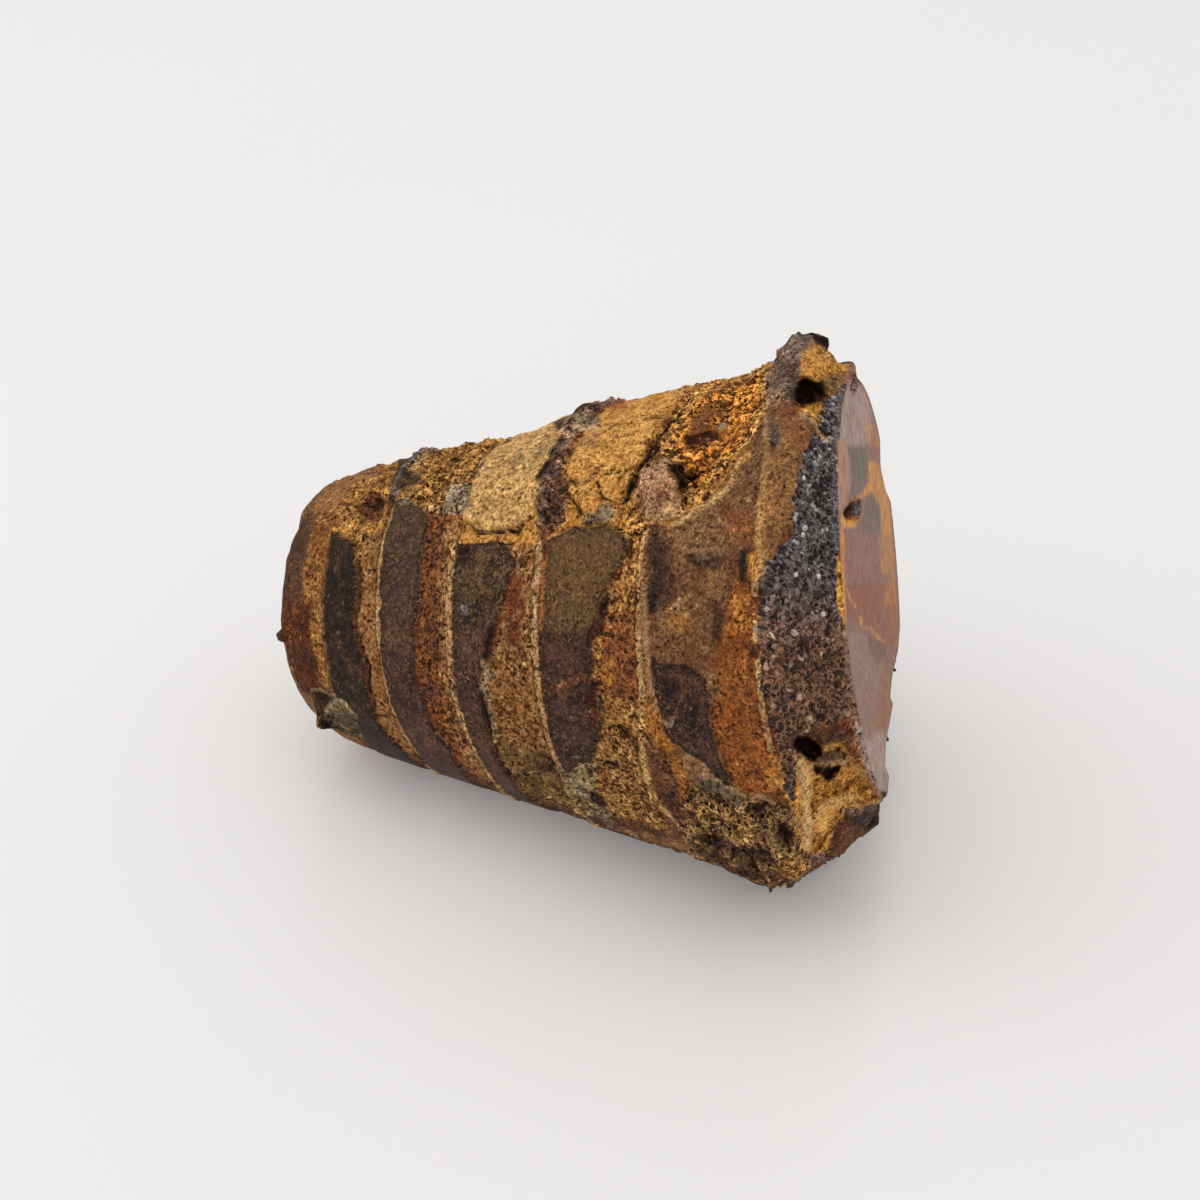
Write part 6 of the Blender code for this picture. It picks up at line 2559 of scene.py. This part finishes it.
        # Pits among the grain: sunk in the bump and painted darker, with a painted highlight on
        # their raised rims.
        cell = board.cells(self.cell_scale, self.cell_stir)
        pit = cell.ease(*self.pit_edge)
        rim = cell.ease(*self.rim_inner) * (1.0 - cell.ease(*self.rim_outer))
        skin = board.value("skin") + self.skin_fray[0] * grain + self.skin_fray[1] * fine
        on_skin = skin.ease(*self.skin_edge)
        holed = add_up(self.holed, crumb, board.value("pits")).clamp() * (broad + 0.5).clamp()
        low = add_up(self.low, grain, fine, speck, mottle)
        low = low + crumb * (self.low_crumb[0] * curl - self.low_crumb[1])
        low = low - holed * pit * self.low_pit[0] + holed * rim * self.low_pit[1]
        low = low + druse * (self.low_druse[0] * curl - self.low_druse[1])
        low = low - self.low_crevice * crevice
        ground = self._ground(board, broad, grain, fine, low)
        # The ground is brightened on raised grain and rims and darkened in pits and crevices:
        # painted light and shade of the small relief.
        stirred = add_up(self.stirred, broad).clamp() + self.stirred_least
        lit = add_up(self.lit_crumb, crumb) * mottle
        lit = lit + self.lit_fine[0] * speck + self.lit_fine[1] * fine
        lit = lit + add_up(self.lit_curl, crumb) * (curl - self.curl_middle)
        lit = self.lit_start + stirred * lit
        lit = lit - holed * pit * self.lit_pit[0] + holed * rim * self.lit_pit[1]
        ground = board.shine(ground, lit - self.lit_crevice * crevice, self.least_lit)
        # Pale winding lines of crust over darker gaps; the gaps' darkness is partly painted shade
        # between the crystals.
        net = curl * add_up(self.net_curl, speck)
        net = (net + (speck + self.net_fine * fine).ease(*self.net_edge)).clamp()
        crust = board.colour("crust")
        gaps = board.shine(crust, add_up(self.crust_shade, fine), self.least_crust)
        ground = board.blend(druse, ground, board.blend(net, gaps, crust))
        coat = self._skin(board, broad, grain, fine, skin)
        # The skins brightened and darkened with the noise of their bumps: painted light and shade
        # of their fine relief.
        coat = board.shine(coat, add_up(self.coat_lit, mottle, speck, fine), self.least_coat)
        dull = add_up(self.dull, grain)
        dull = dull + on_skin * (add_up(self.coat_dull, fine, grain) - dull)
        height = low + on_skin * (add_up(self.coat_height, grain, fine, mottle) - low)
        return board.finish(board.blend(on_skin, ground, coat), dull.clamp(), self.specular,
                            board.bump(add_up(self.bump_height, height), self.bump))

    def _ground(self, board: NodeBoard, broad: Wire, grain: Wire, fine: Wire, low: Wire) -> Wire:
        """Rust and ochre, with painted light on raised grain and painted shade in its hollows.

        Args:
            board: The material's nodes.
            broad: Broad noise.
            grain: Middle noise.
            fine: Fine noise.
            low: Height of the small relief.
        Returns:
            The colour.
        """
        height, edge = board.value("height"), board.value("ridge")
        # Lighter colour on raised grain and darker in its hollows: painted light and shade of the
        # small relief, with random tone from the broad noise.
        tone = add_up(self.tone, broad, low, height).clamp()
        colour = board.blend(tone, board.colour("dark"), board.colour("light"))
        stain = (broad - self.stain_grain * grain).ease(*self.stain_edge)
        colour = board.blend(stain * self.stain_share, colour, Tint.RUST)
        # Pale ochre where the grain stands highest: a painted highlight.
        peak = (low + self.peak_height * height + self.peak_broad * broad).ease(*self.peak_edge)
        colour = board.blend(peak * self.peak_share, colour, Tint.PALE_OCHRE)
        shadow = edge.ease(*self.shadow_outer) * (1.0 - edge.ease(*self.shadow_inner))
        uneven = (self.shadow_share[0] - self.shadow_share[1] * fine).clamp()
        colour = board.blend(shadow * uneven, colour, Tint.PIT)
        ridge = edge + self.ridge_fray[0] * grain + self.ridge_fray[1] * fine
        pale = add_up(self.ridge_pale, fine, grain).clamp()
        pale = board.blend(pale, Tint.CREAM, Tint.PALE_CREAM)
        strength = add_up(self.ridge_share, broad).clamp()
        colour = board.blend(ridge.ease(*self.ridge_edge) * strength, colour, pale)
        # Dark brown in the hollows, pits and crumbly places: painted shade.
        hollow = low * -1.0 - self.hollow_height * height + self.hollow_pits * board.value("pits")
        hollow = hollow + self.hollow_crumb * board.value("crumb").clamp()
        hollow = hollow.ease(*self.hollow_edge) * self.hollow_share
        colour = board.blend(hollow, colour, Tint.PIT)
        return self._cracked(board, colour, fine)

    def _skin(self, board: NodeBoard, broad: Wire, grain: Wire, fine: Wire, skin: Wire) -> Wire:
        """Dark smooth skins with dust on them.

        Args:
            board: The material's nodes.
            broad: Broad noise.
            grain: Middle noise.
            fine: Fine noise.
            skin: Distance inside the skin's edge.
        Returns:
            The colour.
        """
        tone = add_up(self.skin_tone, broad, grain, fine).clamp()
        colour = board.blend(tone, board.colour("skin_dark"), board.colour("skin_light"))
        cluster = board.noise(self.cluster)
        warm = (cluster * -1.0 + self.warm_grain * grain).ease(*self.warm_edge)
        colour = board.blend(warm * self.warm_share, colour, Tint.UMBER)
        chipped = cluster + self.chipped_share * skin.ease(*self.chipped_rim)
        chipped = chipped.ease(*self.chipped_edge)
        # Darker just inside the skins' edges: partly a painted shadow of their raised step, partly
        # dark grains.
        edge = skin.ease(*self.shaded_rim) * (broad + grain).ease(*self.shaded_rim_fray)
        colour = board.blend(edge * self.shaded_rim_share, colour, Tint.SOOT)
        black = self.black_grain * grain - self.black_fine * fine + self.black_chipped * chipped
        black = black.ease(*self.black_edge)
        colour = board.blend(black * self.black_share, colour, Tint.SOOT)
        dust = add_up(self.dust, grain, fine, chipped).ease(*self.dust_edge)
        colour = board.blend(dust * self.dust_share, colour, Tint.DUST)
        return self._cracked(board, colour, fine)

    def _cracked(self, board: NodeBoard, colour: Wire, fine: Wire) -> Wire:
        """Draw the cracks over a colour.

        Args:
            board: The material's nodes.
            colour: The colour so far.
            fine: Fine noise.
        Returns:
            The colour with its cracks.
        """
        crack = (board.value("crack") + self.crack_fray * fine).ease(*self.crack_edge)
        return board.blend(crack * self.crack_share, colour, Tint.SOOT)


@dataclass(frozen=True)
class SawnFace:
    """The smooth cut through the stone."""

    broad: Cloud = Cloud(0.40, 6.0, 0.66, 1.2)
    grain: Cloud = Cloud(2.0, 5.0, 0.65, 0.8)
    fine: Cloud = Cloud(7.0, 4.0, 0.65)
    mottle: Cloud = Cloud(1.6, 3.0, 0.85, 0.4)
    bump: float = 0.05
    specular: float = 0.12
    tone: Shares = (0.5, 0.75, 0.70, 0.45)
    rust_grain: float = 0.5
    rust_edge: Place = (0.16, 0.42)
    rust_share: float = 0.55
    grey_grain: float = 0.7
    grey_edge: Place = (0.18, 0.46)
    grey_share: float = 0.50
    spot_fine: float = 0.9
    spot_edge: Place = (0.36, 0.58)
    spot_share: float = 0.6
    mottled: Shares = (1.0, 0.55)
    least: float = 0.3
    dull: Shares = (0.55, 0.2)
    bump_height: Shares = (0.5, 0.4, 0.2)

    def build(self) -> bpy.types.Material:
        """Make the finish.

        Returns:
            The material.
        """
        board = NodeBoard("sawn_face")
        broad, grain, fine = (board.noise(c) for c in (self.broad, self.grain, self.fine))
        tone = add_up(self.tone, broad, grain, fine).clamp()
        colour = board.blend(tone, board.colour("dark"), board.colour("light"))
        rust = (broad - self.rust_grain * grain).ease(*self.rust_edge)
        colour = board.blend(rust * self.rust_share, colour, Tint.BRICK_DEEP)
        grey = (broad * -1.0 + self.grey_grain * grain).ease(*self.grey_edge)
        colour = board.blend(grey * self.grey_share, colour, Tint.GREY_LILAC)
        spot = (grain + self.spot_fine * fine).ease(*self.spot_edge)
        colour = board.blend(spot * self.spot_share, colour, Tint.GREY_BROWN)
        colour = board.shine(colour, add_up(self.mottled, board.noise(self.mottle)), self.least)
        return board.finish(colour, add_up(self.dull, grain).clamp(), self.specular,
                            board.bump(add_up(self.bump_height, grain, fine), self.bump))


@dataclass(frozen=True)
class CrystalFinish:
    """Dark glinting crystals."""

    fine: Cloud = Cloud(6.0, 4.0, 0.6)
    specular: float = 0.25
    shade: Shares = (0.10, 0.6)
    dull: Shares = (0.22, 0.4)

    def build(self) -> bpy.types.Material:
        """Make the finish.

        Returns:
            The material.
        """
        board = NodeBoard("dark_crystals")
        shade = add_up(self.shade, board.noise(self.fine)).clamp()
        colour = board.blend(shade, board.colour("tone"), Tint.SOOT)
        return board.finish(colour, add_up(self.dull, board.value("mark")).clamp(), self.specular)


@dataclass(frozen=True)
class CrumbFinish:
    """Dull rust crumbs."""

    fine: Cloud = Cloud(6.0, 4.0, 0.6)
    bump: float = 0.08
    specular: float = 0.5
    shade: Shares = (0.25, 0.8)
    dull: Shares = (0.9, 0.1)
    bump_height: Shares = (0.5, 0.5)

    def build(self) -> bpy.types.Material:
        """Make the finish.

        Returns:
            The material.
        """
        board = NodeBoard("rust_crumbs")
        fine = board.noise(self.fine)
        colour = board.blend(add_up(self.shade, fine).clamp(), board.colour("tone"), Tint.PIT)
        return board.finish(colour, add_up(self.dull, fine).clamp(), self.specular,
                            board.bump(add_up(self.bump_height, fine), self.bump))


@dataclass(frozen=True)
class Lamp:
    """One soft square light aimed at the stone: its place and width in millimetres, and watts."""

    name: str
    place: Triple
    width: float
    power: float

    def hang(self) -> None:
        """Put the light in the scene."""
        light = bpy.data.lights.new(self.name, "AREA")
        light.shape = "SQUARE"
        light.size = self.width * MM
        light.energy = self.power
        holder = bpy.data.objects.new(self.name, light)
        holder.location = Vector(self.place) * MM
        aim = Vector(SIGHT.target) * MM - holder.location
        holder.rotation_euler = aim.to_track_quat("-Z", "Y").to_euler()
        bpy.context.scene.collection.objects.link(holder)


@dataclass(frozen=True)
class Studio:
    """Pale floor, soft light from above and the camera."""

    view_deg: float = 28.0
    sensor: float = 36.0
    nearest: float = 0.001
    farthest: float = 20.0
    floor_size: float = 4.0
    floor_cloud: Cloud = Cloud(0.02, 2.0, 0.5, 0.0, 1.0)
    floor_low: tuple[float, ...] = (0.71, 0.705, 0.70, 1.0)
    floor_high: tuple[float, ...] = (0.735, 0.73, 0.725, 1.0)
    floor_roughness: float = 0.30
    floor_specular: float = 0.35
    floor_glow: float = 0.145
    room_colour: tuple[float, ...] = (1.0, 0.985, 0.98, 1.0)
    room_strength: float = 0.80
    lamps: tuple[Lamp, ...] = (
        Lamp("overhead", (-60.0, -40.0, 260.0), 300.0, 0.18),
        Lamp("left_fill", (-220.0, -120.0, 160.0), 180.0, 0.05),
    )

    def build(self) -> None:
        """Set up floor, lights, world and camera."""
        self._floor()
        for lamp in self.lamps:
            lamp.hang()
        world = bpy.data.worlds.new("soft_room")
        world.use_nodes = True
        back = world.node_tree.nodes["Background"]
        back.inputs["Color"].default_value = self.room_colour
        back.inputs["Strength"].default_value = self.room_strength
        bpy.context.scene.world = world
        bpy.context.scene.view_settings.view_transform = "Standard"
        self._camera()

    def _floor(self) -> None:
        """A wide glossy pale sheet, which glows faintly to lighten its shadows: painted light."""
        clear_selection()
        bpy.ops.mesh.primitive_plane_add(size=self.floor_size)
        floor = bpy.context.object
        floor.name = "studio_floor"
        board = NodeBoard("pale_sheet")
        tone = (0.5 + board.noise(self.floor_cloud)).clamp()
        colour = board.blend(tone, self.floor_low, self.floor_high)
        # The floor's faint glow lightens the shadow round the stone: painted light.
        board.link(board.shader.inputs["Emission Color"], self.room_colour)
        board.link(board.shader.inputs["Emission Strength"], self.floor_glow)
        floor.data.materials.append(
            board.finish(colour, self.floor_roughness, self.floor_specular))

    def _camera(self) -> None:
        """The camera at its viewing angle."""
        lens = bpy.data.cameras.new("view")
        lens.sensor_width = self.sensor
        lens.lens = self.sensor / 2.0 / math.tan(math.radians(self.view_deg) / 2.0)
        lens.clip_start = self.nearest
        lens.clip_end = self.farthest
        camera = bpy.data.objects.new("view", lens)
        back = Vector(SIGHT.axes()[2])
        camera.location = (Vector(SIGHT.target) + back * SIGHT.distance) * MM
        camera.rotation_euler = back.to_track_quat("Z", "Y").to_euler()
        bpy.context.scene.collection.objects.link(camera)
        bpy.context.scene.camera = camera


@dataclass(frozen=True)
class Growth:
    """Where crystals and crumbs sit on the stone, and the crust's colours."""

    form: ShellForm = FORM
    crystals: CrystalCrust = CrystalCrust(
        "crystal_crust", gap=0.22, small=0.07, large=0.24, sunk=0.05, seed=7, flatness=0.60,
        bias=7.0)
    crumbs: Crumbs = Crumbs(
        "rust_crumbs", gap=0.36, small=0.10, large=0.31, sunk=0.34, seed=17, flatness=0.50)
    brown_from: float = 46.0
    brown_to: float = 68.0
    crust_lift: float = 1.3
    open_below: float = 0.3
    saw_margin: float = 0.3
    back_margin: float = 1.4
    turned_away: float = -0.05
    least_crumb: float = 0.55
    least_u: float = 0.5
    least_upward: float = -0.6

    def tinted(self, survey: Survey, top: Tint, side: Tint) -> Array:
        """A colour for each vertex, one on top and another down the sides."""
        brown = ease(self.brown_from, self.brown_to, np.abs(survey.angle))[:, None]
        return mixed(top.surface(), side.surface(), brown)

    def crust(self, survey: Survey) -> Array:
        """Colour of the crust between the crystals."""
        return self.tinted(survey, Tint.GLINT, Tint.CLAY) * self.crust_lift

    def build(self, survey: Survey, coat: Coat) -> tuple[bpy.types.Object, bpy.types.Object]:
        """Grow both kinds of grain.

        Args:
            survey: The stone's vertices.
            coat: Their paint.
        Returns:
            The crystals and the crumbs, in millimetres.
        """
        over = self.form.over_saw(survey.points)
        wall = (survey.inner < self.open_below) & (over < -self.saw_margin)
        away = np.sum(survey.normals * SIGHT.locate(survey.points)[2], axis=1)
        behind = (away > self.turned_away) & (over > -self.back_margin)
        druse = (coat.druse > 0.0) & wall & ~behind
        crumbly = (coat.crumb > self.least_crumb) & wall & ~druse & (survey.u > self.least_u)
        crumbly &= survey.normals[:, 2] > self.least_upward
        # Most crystals stay dark and a few take the pale spark colours: the pale ones are painted
        # glints.
        crystals = self.crystals.build(survey, druse,
                                       self.tinted(survey, Tint.SPARK, Tint.WARM_SPARK),
                                       self.tinted(survey, Tint.SOOT, Tint.SLATE_DARK))
        return crystals, self.crumbs.build(survey, crumbly, coat.light, coat.dark)


def main() -> None:
    """Build the stone, its crystals and crumbs, and the studio."""
    logging.basicConfig(level=logging.INFO, format="%(message)s")
    body, growth = StoneBody(), Growth()
    stone, survey, coat = body.build()
    coat.store(stone.data)
    store_colour(stone.data, "crust", growth.crust(survey))
    crystals, crumbs = growth.build(survey, coat)
    finish_piece(stone, WeatheredStone().build(), SawnFace().build())
    stone.data.polygons.foreach_set("material_index", body.sawn_faces.astype(np.int32))
    finish_piece(crystals, CrystalFinish().build())
    finish_piece(crumbs, CrumbFinish().build())
    Studio().build()


if __name__ == "__main__":
    main()
